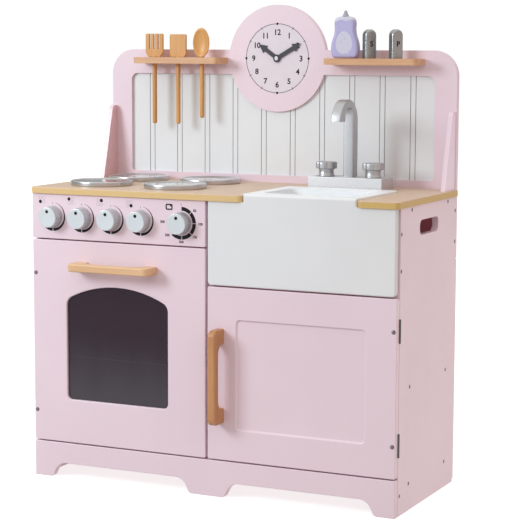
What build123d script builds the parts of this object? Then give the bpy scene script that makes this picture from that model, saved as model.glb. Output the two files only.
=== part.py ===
import os

from build123d import *

# Main sizes in millimetres
width = 740.0
body_depth = 312.0
overall_height = 900.0
worktop_height = 556.0
board = 12.0
handle_reach = 38.0

# Clearances
reveal = 2.5
middle_reveal = 4.5
hinge_gap = 1.5
lift_gap = 0.3
turn_gap = 0.4
running = 0.06
notch_gap = 1.0

# Heights of the front
plinth_height = 67.5
arch_height = 28.0
arch_run = 14.0
arch_crown = 24.0
foot = 39.0
middle_foot = 36.0
foot_corner = 9.0
oven_door_top = 456.5
cupboard_door_top = 388.2
floor_level = 43.0
shelf_level = 218.0
rail_height = 66.0
rear_rail_height = 92.0
batten_depth = 20.0
shelf_setback = 20.0
back_panel = 12.0
slot_length = 95.0
slot_height = 27.0
slot_drop = 40.0

# Worktop and sink
worktop_overhang = 4.0
side_overhang = 2.5
worktop_corner = 9.0
sink_margin = 76.0
sink_width = 222.5
notch_depth = 199.0
notch_corner = 9.0
apron_inset = 3.5
rim_rise = 3.3
rim_side = 24.0
rim_rear = 48.0
bowl_depth = 112.0
bowl_wall = 5.0

# Splashback
splash_top = 813.5
splash_bottom = 427.0
splash_corner = 48.0
splash_inset = 2.5
splash_border = 43.5
splash_strip = 14.0
splash_opening_top = 766.0
recess = 6.0
clock_radius = 103.0
groove_pitch = 62.1
groove_pairs = 10
bead_width = 10.5

# Shelves and wings
shelf_width = 187.0
shelf_depth = 47.0
shelf_top = 798.0
shelf_corner = 7.0
left_shelf_gap = 5.0
right_shelf_gap = 13.0
utensil_pitch = 53.0
utensil_shift = -2.0
utensil_back = 26.0
stem_radius = 4.5
head_thick = 5.0
fork_wide = 39.0
fork_tall = 47.5
fork_root = 16.0
tine_pitch = 9.8
tine_gap = 3.6
spatula_wide = 36.5
spatula_tall = 45.0
spoon_half = 18.0
spoon_rise = 29.0
spoon_level = 28.5
spoon_thick = 11.0
scoop_level = 31.0
long_tail = 131.0
short_tail = 118.0
stock_back = 30.0
stock_thick = 16.0
bottle_tall = 78.0
bottle_offset = -54.0
salt_offset = -6.5
pepper_offset = 46.5
shaker_half = 10.75
shaker_tall = 43.0
wing_board = 8.0
wing_inset = 4.0
wing_height = 145.0
wing_foot = 55.0
wing_tip = 17.0

# Hobs, knobs and tap
hob_radius = 59.0
hob_height = 9.5
hob_rear_gap = 5.0
hob_row_gap = 26.0
hob_side_gap = 39.0
hob_column_gap = 41.5
knob_level = 500.7
knob_radius = 21.0
knob_face_radius = 19.0
knob_height = 21.0
knob_margin = 45.0
knob_pitch = 63.1
oven_knob_inset = 51.0
pin_radius = 4.0
pin_reach = 14.0
tap_gap = 7.0
tap_width = 147.5
tap_depth = 60.0
tap_height = 22.5
tap_knob_setback = 25.0
tap_knob_offset = 47.2
tap_cap_radius = 19.8
tap_cap_low = 14.0
tap_cap_high = 27.0
spout_width = 19.5
spout_depth = 25.0
spout_setback = 16.0
spout_reach = 60.0
spout_rise = 167.0
spout_lip = 2.5
spout_crown = 10.0

# Doors
oven_shift = -2.2
window_half = 108.3
window_bottom = 153.5
window_shoulder = 345.2
window_apex = 373.2
window_corner = 18.0
pane = 3.0
pane_setback = 5.0
panel_border = 57.0
panel_recess = 3.0
handle_length = 174.0
handle_bar = 15.0
handle_grip = 17.5
handle_foot = 28.5
handle_hollow = 16.5
oven_handle_z = 410.5
cupboard_handle_inset = 26.0
cupboard_handle_z = 226.0
hinge_height = 42.0
hinge_low = 128.0
oven_hinge_high = 392.5
cupboard_hinge_high = 330.5
barrel_radius = 2.2
leaf = 1.0

# Places of the screws
front_screw_inset = 53.0
rear_screw_inset = 47.0
rail_screw_low = 20.0
rail_screw_high = 14.0
apron_rail_screw = 38.0
rear_screw_pitch = 200.0
shelf_screw_inset = 33.5
wing_screw_low = 35.0
wing_screw_high = 40.0

# Lines that follow from the sizes
half = width / 2
inner = half - board
divider_half = board / 2
carcass_front = board + hinge_gap
carcass_back = body_depth - board
under_top = worktop_height - board
sub_top_bottom = under_top - board
rail_back = 2 * board
doors_bottom = plinth_height + reveal
fascia_bottom = oven_door_top + reveal
apron_bottom = cupboard_door_top + reveal
middle_gap = middle_reveal / 2
oven_middle = -(half + middle_gap) / 2 + oven_shift
notch_right = half - sink_margin
notch_left = notch_right - sink_width
splash_half = half - splash_inset
left_shelf_x = -(clock_radius + left_shelf_gap + shelf_width / 2)
right_shelf_x = clock_radius + right_shelf_gap + shelf_width / 2
clock_level = overall_height - clock_radius
shift = -(body_depth - handle_reach) / 2


def block(x0, x1, y0, y1, z0, z1):
    return Pos((x0 + x1) / 2, (y0 + y1) / 2, (z0 + z1) / 2) * Box(x1 - x0, y1 - y0, z1 - z0)


def board_xz(outline, y0, y1, taper=0):
    return extrude(Plane.XZ.offset(-y1) * outline, amount=y1 - y0, taper=taper)


def board_yz(outline, x0, x1):
    return extrude(Plane.YZ.offset(x0) * outline, amount=x1 - x0)


def board_xy(outline, z0, z1):
    return extrude(Plane.XY.offset(z0) * outline, amount=z1 - z0)


def rect(u0, u1, v0, v1):
    return Pos((u0 + u1) / 2, (v0 + v1) / 2) * Rectangle(u1 - u0, v1 - v0)


def rounded(u0, u1, v0, v1, radius):
    return Pos((u0 + u1) / 2, (v0 + v1) / 2) * RectangleRounded(u1 - u0, v1 - v0, radius)


def turned(points):
    return revolve(Plane.XZ * make_face(Polyline(*points, close=True)), Axis.Z)


def soften(solid, radius):
    front = solid.faces().sort_by(Axis.Y)[0]
    return fillet(front.outer_wire().edges(), radius)


def flipped(solid):
    return mirror(solid, Plane.YZ)


def touches(a, b):
    p, q = a.bounding_box(), b.bounding_box()
    clear_x = p.min.X > q.max.X or q.min.X > p.max.X
    clear_y = p.min.Y > q.max.Y or q.min.Y > p.max.Y
    clear_z = p.min.Z > q.max.Z or q.min.Z > p.max.Z
    return not (clear_x or clear_y or clear_z)


def drilled(solid, tools):
    for tool in tools:
        if touches(solid, tool):
            solid = solid - tool
    return solid


def save(name, *solids):
    moved = [Pos(0, shift, 0) * item for shape in solids for item in shape.solids()]
    shape = moved[0] if len(moved) == 1 else Compound(children=moved)
    export_step(shape, "parts/" + name + ".step")


os.makedirs("parts", exist_ok=True)

# Screws that hold the boards together, head flush with the outside
screw_head = 3.5
screw_shank = 2.2
screw_length = 34.0
head_depth = 2.5
screw = Pos(0, 0, -head_depth / 2) * Cylinder(screw_head, head_depth)
screw += Pos(0, 0, -screw_length / 2) * Cylinder(screw_shank, screw_length)
screw -= Pos(0, 0, -0.6) * extrude(RegularPolygon(1.8, 6), amount=1.2)
screw_hole = Pos(0, 0, -head_depth / 2) * Cylinder(screw_head + 0.2, head_depth + 0.2)
screw_hole += Pos(0, 0, -screw_length / 2) * Cylinder(screw_shank + 0.1, screw_length + 0.6)

front_rail_y = 1.5 * board
rear_rail_y = carcass_back - board / 2
rear_rail_bottom = sub_top_bottom - rear_rail_height
apron_rail_bottom = apron_bottom + board / 2
batten_bottom = arch_height + 1
batten_y = board + batten_depth / 2
fascia_rail_z = sub_top_bottom - rail_height / 2
side_screws = [
    (rear_rail_y, rear_rail_bottom + rail_screw_low),
    (rear_rail_y, sub_top_bottom - rail_screw_high),
    (front_rail_y, fascia_rail_z),
    (batten_y, (batten_bottom + floor_level) / 2),
]
for level in (sub_top_bottom, shelf_level, floor_level):
    side_screws.append((carcass_front + front_screw_inset, level + board / 2))
    side_screws.append((carcass_back - rear_screw_inset, level + board / 2))
apron_screw = (front_rail_y, apron_rail_bottom + apron_rail_screw)
screw_planes = [Plane(origin=(half, y, z), z_dir=(1, 0, 0)) for y, z in side_screws + [apron_screw]]
screw_planes += [Plane(origin=(-half, y, z), z_dir=(-1, 0, 0)) for y, z in side_screws]
wing_outer = half - wing_inset
wing_x = wing_outer - wing_board / 2
wing_base = worktop_height
shelf_mid = shelf_top - board / 2
shelf_screw = shelf_width / 2 - shelf_screw_inset
wing_levels = (wing_base + wing_screw_low, wing_base + wing_height - wing_screw_high)
rear_screws = [(s * wing_x, z) for s in (-1, 1) for z in wing_levels]
rear_screws += [(x + s * shelf_screw, shelf_mid) for x in (left_shelf_x, right_shelf_x) for s in (-1, 1)]
rear_screws += [((i - 1.5) * rear_screw_pitch, rear_rail_bottom + rear_rail_height / 2) for i in range(4)]
screw_planes += [Plane(origin=(x, body_depth, z), z_dir=(0, 1, 0)) for x, z in rear_screws]
screw_holes = [plane.location * screw_hole for plane in screw_planes]
save("carcass_screws", *[plane.location * screw for plane in screw_planes])

# Pins on which the control and tap knobs turn
pin_bed = 2 * board
collar = 0.6
pin_outline = [
    (0, -pin_bed), (pin_radius, -pin_bed), (pin_radius, 8), (pin_radius + collar, 8.6),
    (pin_radius + collar, 9.4), (pin_radius, 10.6), (pin_radius, pin_reach - 1), (pin_radius - 1, pin_reach),
    (0, pin_reach),
]
pin = turned(pin_outline)
pin_hole = Pos(0, 0, -pin_bed / 2) * Cylinder(pin_radius + 0.05, pin_bed + 0.02)
knob_xs = [-half + knob_margin + knob_pitch * i for i in range(4)] + [-oven_knob_inset]
knob_planes = [Plane(origin=(x, 0, knob_level), x_dir=(1, 0, 0), z_dir=(0, -1, 0)) for x in knob_xs]
tap_x = (notch_left + notch_right) / 2
tap_front = notch_depth + tap_gap
tap_y = tap_front + tap_knob_setback
tap_top = worktop_height + tap_height
tap_planes = [Plane(origin=(tap_x + s * tap_knob_offset, tap_y, tap_top)) for s in (-1, 1)]
pin_planes = knob_planes + tap_planes
pin_holes = [plane.location * pin_hole for plane in pin_planes]
save("knob_pins", *[plane.location * pin for plane in pin_planes])

# Bore in every knob: running fit on the pin and a groove for its collar
bore_radius = pin_radius + running
bore = Pos(0, 0, pin_reach / 2 + 0.2) * Cylinder(bore_radius, pin_reach + 0.8)
bore += Pos(0, 0, 9.3) * Cylinder(pin_radius + collar + 0.4, 3.6)

# Hinges, drawn for the right-hand door and mirrored for the left
axis_x = half + 0.6
axis_y = board + hinge_gap / 2
third = hinge_height / 3
leaf_edge = half - barrel_radius - 0.4
leaf_start = half - board + 1.5


def round_bar(x, y, radius, z0, z1):
    return board_xy(Pos(x, y) * Circle(radius), z0, z1)


def hinge_door_leaf(z):
    low, high = z - third / 2 + 0.15, z + third / 2 - 0.15
    bottom, top = z - hinge_height / 2, z + hinge_height / 2
    shape = block(leaf_start, leaf_edge, board - leaf, board, bottom, top)
    shape += block(leaf_edge, axis_x, board - leaf, board, low, high)
    shape += round_bar(axis_x, axis_y, barrel_radius, low, high)
    shape -= round_bar(axis_x, axis_y, 1.2 + running, low - 1, high + 1)
    return shape - board_xz(Pos(half - 6, z) * Circle(2.0), 0, board + 1)


def hinge_fixed_leaf(z):
    bottom, top = z - hinge_height / 2, z + hinge_height / 2
    shape = block(leaf_start, leaf_edge, carcass_front, carcass_front + leaf, bottom, top)
    for s in (-1, 1):
        low, high = sorted((z + s * (third / 2 + 0.15), z + s * hinge_height / 2))
        shape += block(leaf_edge, axis_x, carcass_front, carcass_front + leaf, low, high)
        shape += round_bar(axis_x, axis_y, barrel_radius, low, high)
    return shape - round_bar(axis_x, axis_y, 1.22, z - hinge_height, z + hinge_height)


def hinge_pin(z):
    return round_bar(axis_x, axis_y, 1.2, z - hinge_height / 2, z + hinge_height / 2)


def hinge_bolt(z):
    dome = turned([(0, 0), (4, 0), (3.6, 0.7), (2.4, 1.2), (0, 1.4)])
    shape = Plane(origin=(half - 6, 0, z), z_dir=(0, -1, 0)).location * dome
    return shape + board_xz(Pos(half - 6, z) * Circle(1.9), 0, board)


def hinge_cut(z):
    tall = hinge_height / 2 + 0.4
    shape = round_bar(axis_x, axis_y, barrel_radius + 0.45, z - tall, z + tall)
    shape += block(leaf_start - 0.2, half + 1, board - leaf, carcass_front + leaf, z - tall, z + tall)
    return shape + board_xz(Pos(half - 6, z) * Circle(2.0), -1, board)


right_hinges = (hinge_low, cupboard_hinge_high)
left_hinges = (hinge_low, oven_hinge_high)
right_cuts = [hinge_cut(z) for z in right_hinges]
left_cuts = [flipped(hinge_cut(z)) for z in left_hinges]
save("cupboard_hinge_leaves", *[hinge_door_leaf(z) for z in right_hinges])
save("oven_hinge_leaves", *[flipped(hinge_door_leaf(z)) for z in left_hinges])
save("cupboard_hinge_bolts", *[hinge_bolt(z) for z in right_hinges])
save("oven_hinge_bolts", *[flipped(hinge_bolt(z)) for z in left_hinges])
fixed_leaves = [hinge_fixed_leaf(z) for z in right_hinges]
fixed_leaves += [flipped(hinge_fixed_leaf(z)) for z in left_hinges]
hinge_pins = [hinge_pin(z) for z in right_hinges]
hinge_pins += [flipped(hinge_pin(z)) for z in left_hinges]
save("carcass_hinge_leaves", *fixed_leaves)
save("hinge_pins", *hinge_pins)

# Side panels with hand slots
slot_top = worktop_height - slot_drop
slot_y = body_depth / 2 - hinge_gap
side_outline = rect(carcass_front, carcass_back, 0, under_top)
slot_span = (slot_y - slot_length / 2, slot_y + slot_length / 2)
side_outline -= rounded(*slot_span, slot_top - slot_height, slot_top, 11)
side = board_yz(side_outline, inner, half)
save("right_side_panel", drilled(side, right_cuts + screw_holes))
save("left_side_panel", drilled(flipped(side), left_cuts + screw_holes))

# Boards inside the cabinet
rail_bottom = sub_top_bottom - rail_height
rear_rail_front = carcass_back - board
floor_board = block(-inner, inner, carcass_front, carcass_back, floor_level, floor_level + board)
save("cabinet_floor", drilled(floor_board, screw_holes))
divider = block(-divider_half, divider_half, carcass_front, carcass_back, floor_level + board, sub_top_bottom)
divider -= block(-divider_half, divider_half, 0, rail_back, apron_rail_bottom, sub_top_bottom)
divider -= block(-divider_half, divider_half, rear_rail_front, carcass_back, rear_rail_bottom, sub_top_bottom)
save("centre_divider", divider)
shelf_front = carcass_front + shelf_setback
shelf_span = (shelf_front, carcass_back, shelf_level, shelf_level + board)
save("oven_shelf", drilled(block(-inner, -divider_half, *shelf_span), screw_holes))
save("cupboard_shelf", drilled(block(divider_half, inner, *shelf_span), screw_holes))
rail_outline = rect(-inner, inner, rail_bottom, sub_top_bottom)
rail_outline += rect(-divider_half, inner, apron_rail_bottom, rail_bottom)
front_rail = board_xz(rail_outline, board, rail_back)
save("front_rail", drilled(front_rail, screw_holes + pin_holes))
rear_rail = block(-inner, inner, rear_rail_front, carcass_back, rear_rail_bottom, sub_top_bottom)
save("rear_rail", drilled(rear_rail, screw_holes))
batten = block(-inner, inner, board, board + batten_depth, batten_bottom, floor_level)
save("plinth_batten", drilled(batten, screw_holes))
back_span = (carcass_back, carcass_back + back_panel)
back_board = block(-splash_half, splash_half, *back_span, 4, splash_bottom - reveal)
save("lower_back_panel", back_board)

# Sink basin hanging by its thick rim on the sub-top, bowl with tapered walls
basin_left = notch_left + notch_gap
basin_right = notch_right - notch_gap
basin_back = notch_depth - notch_gap
rim_top = worktop_height + rim_rise
bowl_front = rail_back + 1
bowl_left = basin_left + rim_side - bowl_wall
bowl_right = basin_right - rim_side + bowl_wall
bowl_back = basin_back - rim_rear + bowl_wall
bowl_bottom = rim_top - bowl_depth - bowl_wall
rim = board_xy(rounded(basin_left, basin_right, board, basin_back, 9), under_top, rim_top)
rim += board_xy(rect(basin_left, basin_right, board, board + 12), under_top, rim_top)
rim = fillet(rim.faces().sort_by(Axis.Z)[-1].outer_wire().edges().sort_by(Axis.Y)[1:], 1.5)
bowl = board_xy(rounded(bowl_left, bowl_right, bowl_front, bowl_back, 20), bowl_bottom, under_top)
bowl = fillet(bowl.faces().sort_by(Axis.Z)[0].edges(), 12)
bowl_mid_x = (bowl_left + bowl_right) / 2
bowl_mid_y = (bowl_front + bowl_back) / 2
bowl_size_x = bowl_right - bowl_left - 2 * bowl_wall
bowl_size_y = bowl_back - bowl_front - 2 * bowl_wall
low_face = Pos(bowl_mid_x, bowl_mid_y) * RectangleRounded(bowl_size_x - 8, bowl_size_y - 8, 14)
high_face = Pos(bowl_mid_x, bowl_mid_y) * RectangleRounded(bowl_size_x, bowl_size_y, 18)
hollow = loft([Plane.XY.offset(bowl_bottom + bowl_wall) * low_face, Plane.XY.offset(rim_top) * high_face])
hollow = fillet(hollow.faces().sort_by(Axis.Z)[0].edges(), 10)
basin = rim + bowl - hollow
save("sink_basin", basin)

# Sub-top that carries the worktop, cut out for the bowl
sub_top = block(-inner, inner, carcass_front, carcass_back, sub_top_bottom, under_top)
cut_out = rounded(bowl_left - 0.5, bowl_right + 0.5, bowl_front - 0.5, bowl_back + 0.5, 18)
sub_top -= board_xy(cut_out, sub_top_bottom - 1, under_top + 1)
save("sub_top", drilled(sub_top, screw_holes))

# Worktop with rounded corners and a notch that runs out at the front
top_half = half + side_overhang
top_outline = rounded(-top_half, top_half, -worktop_overhang, carcass_back, worktop_corner)
top_outline += rect(-top_half, top_half, carcass_back / 2, carcass_back)
top_outline -= rounded(notch_left, notch_right, board, notch_depth, 10)
top_outline -= rect(notch_left, notch_right, -2 * worktop_overhang, 3 * board)
notch_middle = (notch_left + notch_right) / 2
front_points = [v for v in top_outline.vertices() if v.Y < 0]
mouth = [v for v in front_points if abs(abs(v.X - notch_middle) - sink_width / 2) < 0.1]
top_outline = fillet(mouth, notch_corner)
worktop = board_xy(top_outline, under_top, worktop_height)
worktop = fillet(worktop.faces().sort_by(Axis.Z)[-1].outer_wire().edges().sort_by(Axis.Y)[:-1], 2)
save("worktop", drilled(worktop, pin_holes))

# Fixed front boards
fascia = soften(board_xz(rounded(-half, -middle_gap, fascia_bottom, under_top, 2), 0, board), 1.2)
save("control_fascia", drilled(fascia, pin_holes))
apron_right = half - apron_inset
apron_outline = rounded(middle_gap, apron_right, apron_bottom, under_top, 7)
apron_outline += rect(middle_gap, apron_right, (apron_bottom + under_top) / 2, under_top)
apron_outline += rect(basin_left, basin_right, under_top - 30, rim_top)
apron = board_xz(apron_outline, 0, board)
front_edges = apron.faces().sort_by(Axis.Y)[0].outer_wire().edges()
apron = fillet([e for e in front_edges if e.center().Z > worktop_height - 8], 5)
front_edges = apron.faces().sort_by(Axis.Y)[0].outer_wire().edges()
save("sink_apron", fillet([e for e in front_edges if e.center().Z < under_top - 4], 3))


def arch(x0, x1):
    points = [(x0, 0), (x0 + arch_run, arch_height), (x1 - arch_run, arch_height), (x1, 0)]
    shape = make_face(Polyline(*points, close=True))
    return fillet(shape.vertices().group_by(Axis.Y)[-1], arch_crown)


plinth_outline = rect(-half, half, 0, plinth_height)
plinth_outline -= arch(-half + foot, -middle_foot)
plinth_outline -= arch(middle_foot, half - foot)
foot_points = [v for v in plinth_outline.vertices() if v.Y < 0.1 and abs(v.X) < half - 1]
plinth_outline = fillet(foot_points, foot_corner)
save("plinth", soften(board_xz(plinth_outline, 0, board), 1.2))

# Doors, with the oven window and its pane let into the back
pane_rim = 12.0
window_edge = [(window_half, window_shoulder), (window_half, window_bottom), (-window_half, window_bottom),
               (-window_half, window_shoulder)]
window_arc = ThreePointArc((-window_half, window_shoulder), (0, window_apex), (window_half, window_shoulder))
window = make_face(Polyline(*window_edge).edges() + window_arc.edges())
window = fillet(window.vertices().group_by(Axis.Y)[0], 10)
window = Pos(oven_middle, 0) * fillet(window.vertices().group_by(Axis.Y)[-1], window_corner)
rebate = offset(window, pane_rim)
pane_outline = offset(window, pane_rim - lift_gap)
oven_door = soften(board_xz(rounded(-half, -middle_gap, doors_bottom, oven_door_top, 3), 0, board), 1.5)
oven_door -= board_xz(window, -1, board + 1)
oven_door = fillet(oven_door.faces().sort_by(Axis.Y)[0].inner_wires()[0].edges(), 2)
oven_door -= board_xz(rebate, pane_setback, board + 1)
save("oven_window", board_xz(pane_outline, pane_setback, pane_setback + pane))

cupboard_door = soften(board_xz(rounded(middle_gap, half, doors_bottom, cupboard_door_top, 3), 0, board), 1.5)
recess_span = (middle_gap + panel_border, half - panel_border)
recess_rise = (doors_bottom + panel_border, cupboard_door_top - panel_border)
recess_face = Plane.XZ * rounded(*recess_span, *recess_rise, 9)
cupboard_door -= extrude(recess_face, amount=-panel_recess, taper=45)

# Bow handles with two pegs each
peg_radius = 4.0
peg_length = 9.0
bow = rect(-handle_length / 2, handle_length / 2, -handle_reach, 0)
bow = fillet(bow.vertices().group_by(Axis.Y)[0], 13)
grip_half = handle_length / 2 - handle_foot
bow -= rounded(-grip_half, grip_half, -handle_reach + handle_grip, handle_reach, handle_hollow)
handle = extrude(bow, amount=handle_bar / 2, both=True)
handle_rims = handle.edges().filter_by(lambda e: abs(abs(e.center().Z) - handle_bar / 2) < 0.01)
handle = fillet([e for e in handle_rims if e.center().Y < -0.01], 3)
peg_x = handle_length / 2 - handle_foot / 2
peg_holes = None
for s in (-1, 1):
    peg = Pos(s * peg_x, peg_length / 2, 0) * Rot(90, 0, 0) * Cylinder(peg_radius, peg_length)
    hole = Pos(s * peg_x, peg_length / 2, 0) * Rot(90, 0, 0) * Cylinder(peg_radius + 0.1, peg_length + 1)
    handle += peg
    peg_holes = hole if peg_holes is None else peg_holes + hole
oven_handle_place = Pos(oven_middle, 0, oven_handle_z)
cupboard_handle_place = Pos(middle_gap + cupboard_handle_inset, 0, cupboard_handle_z) * Rot(0, 90, 0)
save("oven_handle", oven_handle_place * handle)
save("cupboard_handle", cupboard_handle_place * handle)
oven_door -= oven_handle_place * peg_holes
cupboard_door -= cupboard_handle_place * peg_holes
save("oven_door", drilled(oven_door, left_cuts))
save("cupboard_door", drilled(cupboard_door, right_cuts))

# Magnet catches on the divider and strike plates on the doors
catch_low = 14.0
catch_tall = 24.0
catch_wide = 16.0
catch_deep = 18.0
strike = 0.8
catch_front = board + strike + lift_gap
catches = []
for s, door_top, name in ((1, cupboard_door_top, "cupboard"), (-1, oven_door_top, "oven")):
    high = door_top - catch_low
    x0, x1 = sorted((s * divider_half, s * (divider_half + catch_wide)))
    catches.append(block(x0, x1, catch_front, catch_front + catch_deep, high - catch_tall, high))
    save(name + "_strike_plate", block(x0 + 1, x1 - 1, board, board + strike, high - catch_tall, high))
save("magnet_catches", *catches)

# Splashback frame: one board with the clock disc, opening and rear rebate
frame_outline = rounded(-splash_half, splash_half, splash_bottom, splash_top, splash_corner)
frame_outline += rect(-splash_half, splash_half, splash_bottom, splash_top - splash_corner)
disc = Pos(0, clock_level) * Circle(clock_radius)
opening_half = splash_half - splash_border
opening_bottom = worktop_height + splash_strip
opening = rect(-opening_half, opening_half, opening_bottom, splash_opening_top)
opening = fillet(opening.vertices().group_by(Axis.Y)[-1], 13)
opening = fillet(opening.vertices().group_by(Axis.Y)[0], 6)
frame = board_xz(frame_outline + disc, carcass_back, body_depth)
frame -= board_xz(opening - disc, carcass_back - 1, body_depth + 1)
lap = 11.0
rebate_span = (-opening_half - lap, opening_half + lap, opening_bottom - lap, splash_opening_top + lap)
frame -= board_xz(rect(*rebate_span), carcass_back + recess, body_depth + 1)
pivot_radius = 2.5
frame -= board_xz(Pos(0, clock_level) * Circle(pivot_radius + 0.05), carcass_back - 1, carcass_back + recess)
save("splashback_frame", drilled(frame, screw_holes))

# Grooved panel let into the rebate
panel_face = offset(rect(*rebate_span), -lift_gap, kind=Kind.INTERSECTION)
panel = board_xz(panel_face, carcass_back + recess, body_depth)
groove = 1.3
for i in range(groove_pairs):
    middle = (i - (groove_pairs - 1) / 2) * groove_pitch
    for x in (middle - bead_width / 2, middle + bead_width / 2):
        groove_span = (x - groove / 2, x + groove / 2)
        panel -= block(*groove_span, carcass_back, carcass_back + recess + 0.9, 0, overall_height)
save("splashback_panel", panel)

# Wings that brace the splashback on the worktop
wing_points = [
    (carcass_back, wing_base), (carcass_back - wing_foot, wing_base),
    (carcass_back - wing_tip, wing_base + wing_height), (carcass_back, wing_base + wing_height),
]
wing_outline = make_face(Polyline(*wing_points, close=True))
wing_outline = fillet(wing_outline.vertices().group_by(Axis.Y)[-1].sort_by(Axis.X)[0], 11)
wing = board_yz(wing_outline, wing_outer - wing_board, wing_outer)
save("right_wing", drilled(wing, screw_holes))
save("left_wing", drilled(flipped(wing), screw_holes))


# Shelves on the splashback, the left one bored for the utensils
def shelf(middle):
    x0, x1 = middle - shelf_width / 2, middle + shelf_width / 2
    outline = rect(x0, x1, carcass_back - shelf_depth, carcass_back)
    outline = fillet(outline.vertices().group_by(Axis.Y)[0], shelf_corner)
    return board_xy(outline, shelf_top - board, shelf_top)


utensil_y = carcass_back - utensil_back
utensil_xs = [left_shelf_x + utensil_shift + (i - 1) * utensil_pitch for i in range(3)]
left_shelf = shelf(left_shelf_x)
for x in utensil_xs:
    left_shelf -= round_bar(x, utensil_y, stem_radius + 0.5, 0, overall_height)
save("left_shelf", drilled(left_shelf, screw_holes))
save("right_shelf", drilled(shelf(right_shelf_x), screw_holes))

# Hob discs with a raised rim
hob_outline = [
    (0, 0), (hob_radius - 3, 0), (hob_radius - 1, 1.5), (hob_radius, 4), (hob_radius - 0.6, hob_height - 1.6),
    (hob_radius - 2.5, hob_height), (hob_radius - 5.5, hob_height), (hob_radius - 7.5, hob_height - 1.4),
    (hob_radius - 9, hob_height - 3), (0, hob_height - 3),
]
hob = turned(hob_outline)
rear_row = carcass_back - hob_rear_gap - hob_radius
front_row = rear_row - hob_row_gap - 2 * hob_radius
left_column = -half + hob_side_gap + hob_radius
right_column = left_column + hob_column_gap + 2 * hob_radius
for row, y in (("front", front_row), ("rear", rear_row)):
    for column, x in (("left", left_column), ("right", right_column)):
        save("hob_disc_" + row + "_" + column, Pos(x, y, worktop_height) * hob)

# Control knobs with a dimple that points up
knob = turned([(0, 0), (knob_radius, 0), (knob_face_radius, knob_height), (0, knob_height)])
knob = Pos(0, 0, turn_gap) * fillet(knob.edges().filter_by(GeomType.CIRCLE).sort_by(Axis.Z)[-1], 1.2)
knob -= bore
knob -= Pos(0, 11, turn_gap + knob_height) * Cylinder(3.2, 1.2)
knob_names = ["hob_knob_1", "hob_knob_2", "hob_knob_3", "hob_knob_4", "oven_knob"]
for name, plane in zip(knob_names, knob_planes):
    save(name, plane.location * knob)

# Tap: base block, bent spout on a spigot and two six-lobed knobs
spigot = 6.0
spout_y = tap_front + spout_setback + spout_depth / 2
tap_span = (tap_x - tap_width / 2, tap_x + tap_width / 2)
tap_base = block(*tap_span, tap_front, tap_front + tap_depth, worktop_height, tap_top)
tap_base = fillet(tap_base.faces().sort_by(Axis.Z)[-1].edges(), 1.5)
tap_base -= round_bar(tap_x, spout_y, spigot + 0.1, tap_top - 12.5, tap_top + 1)
save("tap_base", drilled(tap_base, pin_holes))
post_front = spout_y - spout_depth / 2
post_back = spout_y + spout_depth / 2
bend_inner = (spout_reach - spout_depth) / 2
bend_outer = bend_inner + spout_depth
bend_y = post_front - bend_inner
bend_z = worktop_height + spout_rise - bend_outer
spout_outline = rect(post_front, post_back, tap_top, bend_z)
inner_z = bend_z + spout_crown
ring = Pos(bend_y, bend_z) * Circle(bend_outer)
ring -= Pos(bend_y, inner_z) * Circle(bend_inner)
ring -= rect(bend_y - bend_inner, bend_y + bend_inner, bend_z - bend_outer, inner_z)
bend_top = bend_z + bend_outer
front_quarter = rect(bend_y - bend_outer, bend_y, bend_z + spout_lip, bend_top)
rear_quarter = rect(bend_y, bend_y + bend_outer, bend_z, bend_top)
spout_outline += ring & (front_quarter + rear_quarter)
spout = board_yz(spout_outline, tap_x - spout_width / 2, tap_x + spout_width / 2)
spout += round_bar(tap_x, spout_y, spigot, tap_top - 12, tap_top)
save("tap_spout", spout)
tap_neck = 14.5
cap_outline = [
    (0, turn_gap), (tap_neck, turn_gap), (tap_neck, tap_cap_low), (tap_cap_radius - 1, tap_cap_low),
    (tap_cap_radius, tap_cap_low + 1), (tap_cap_radius, tap_cap_high - 1.5),
    (tap_cap_radius - 1.5, tap_cap_high), (0, tap_cap_high),
]
tap_knob = turned(cap_outline)
scallop = round_bar(tap_cap_radius + 5.2, 0, 7, tap_cap_low - 1, tap_cap_high + 1)
for i in range(6):
    tap_knob -= Rot(0, 0, 60 * i) * scallop
tap_knob -= bore
for name, plane in zip(("tap_knob_left", "tap_knob_right"), tap_planes):
    save(name, plane.location * tap_knob)


# Clock hands, one in front of the other on the pivot screw
def hand(length, stem, head, head_length):
    neck = length - head_length
    right = [(stem / 2, 0), (stem / 2, neck), (head / 2, neck)]
    left = [(-u, v) for u, v in reversed(right)]
    arrow = make_face(Polyline(*right, (0, length), *left, close=True))
    return arrow + Circle(7.5) - Circle(pivot_radius + running)


hand_sheet = 1.2
hour_back = carcass_back - turn_gap
minute_back = hour_back - hand_sheet - lift_gap
hour_hand = Pos(0, clock_level) * Rot(0, 0, 55) * hand(47, 8, 17, 17)
minute_hand = Pos(0, clock_level) * Rot(0, 0, -60) * hand(58, 8, 17, 17)
save("clock_hour_hand", board_xz(hour_hand, hour_back - hand_sheet, hour_back))
save("clock_minute_hand", board_xz(minute_hand, minute_back - hand_sheet, minute_back))
head_back = minute_back - hand_sheet - lift_gap
pivot = board_xz(Pos(0, clock_level) * Circle(4.2), head_back - 1.6, head_back)
pivot = fillet(pivot.faces().sort_by(Axis.Y)[0].edges(), 0.8)
pivot += board_xz(Pos(0, clock_level) * Circle(pivot_radius), head_back, carcass_back + recess)
pivot -= board_xz(Pos(0, clock_level) * Rectangle(5, 0.9), head_back - 2, head_back - 1)
save("clock_pivot", pivot)

# Utensils hanging by their heads
stand = shelf_top + lift_gap
fork_x, spatula_x, spoon_x = utensil_xs


def stem(x, tail):
    bar = round_bar(x, utensil_y, stem_radius, shelf_top - tail, stand + 8)
    return fillet(bar.edges().sort_by(Axis.Z)[0], 3)


def head_span(thick):
    return utensil_y - thick / 2, utensil_y + thick / 2


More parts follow.
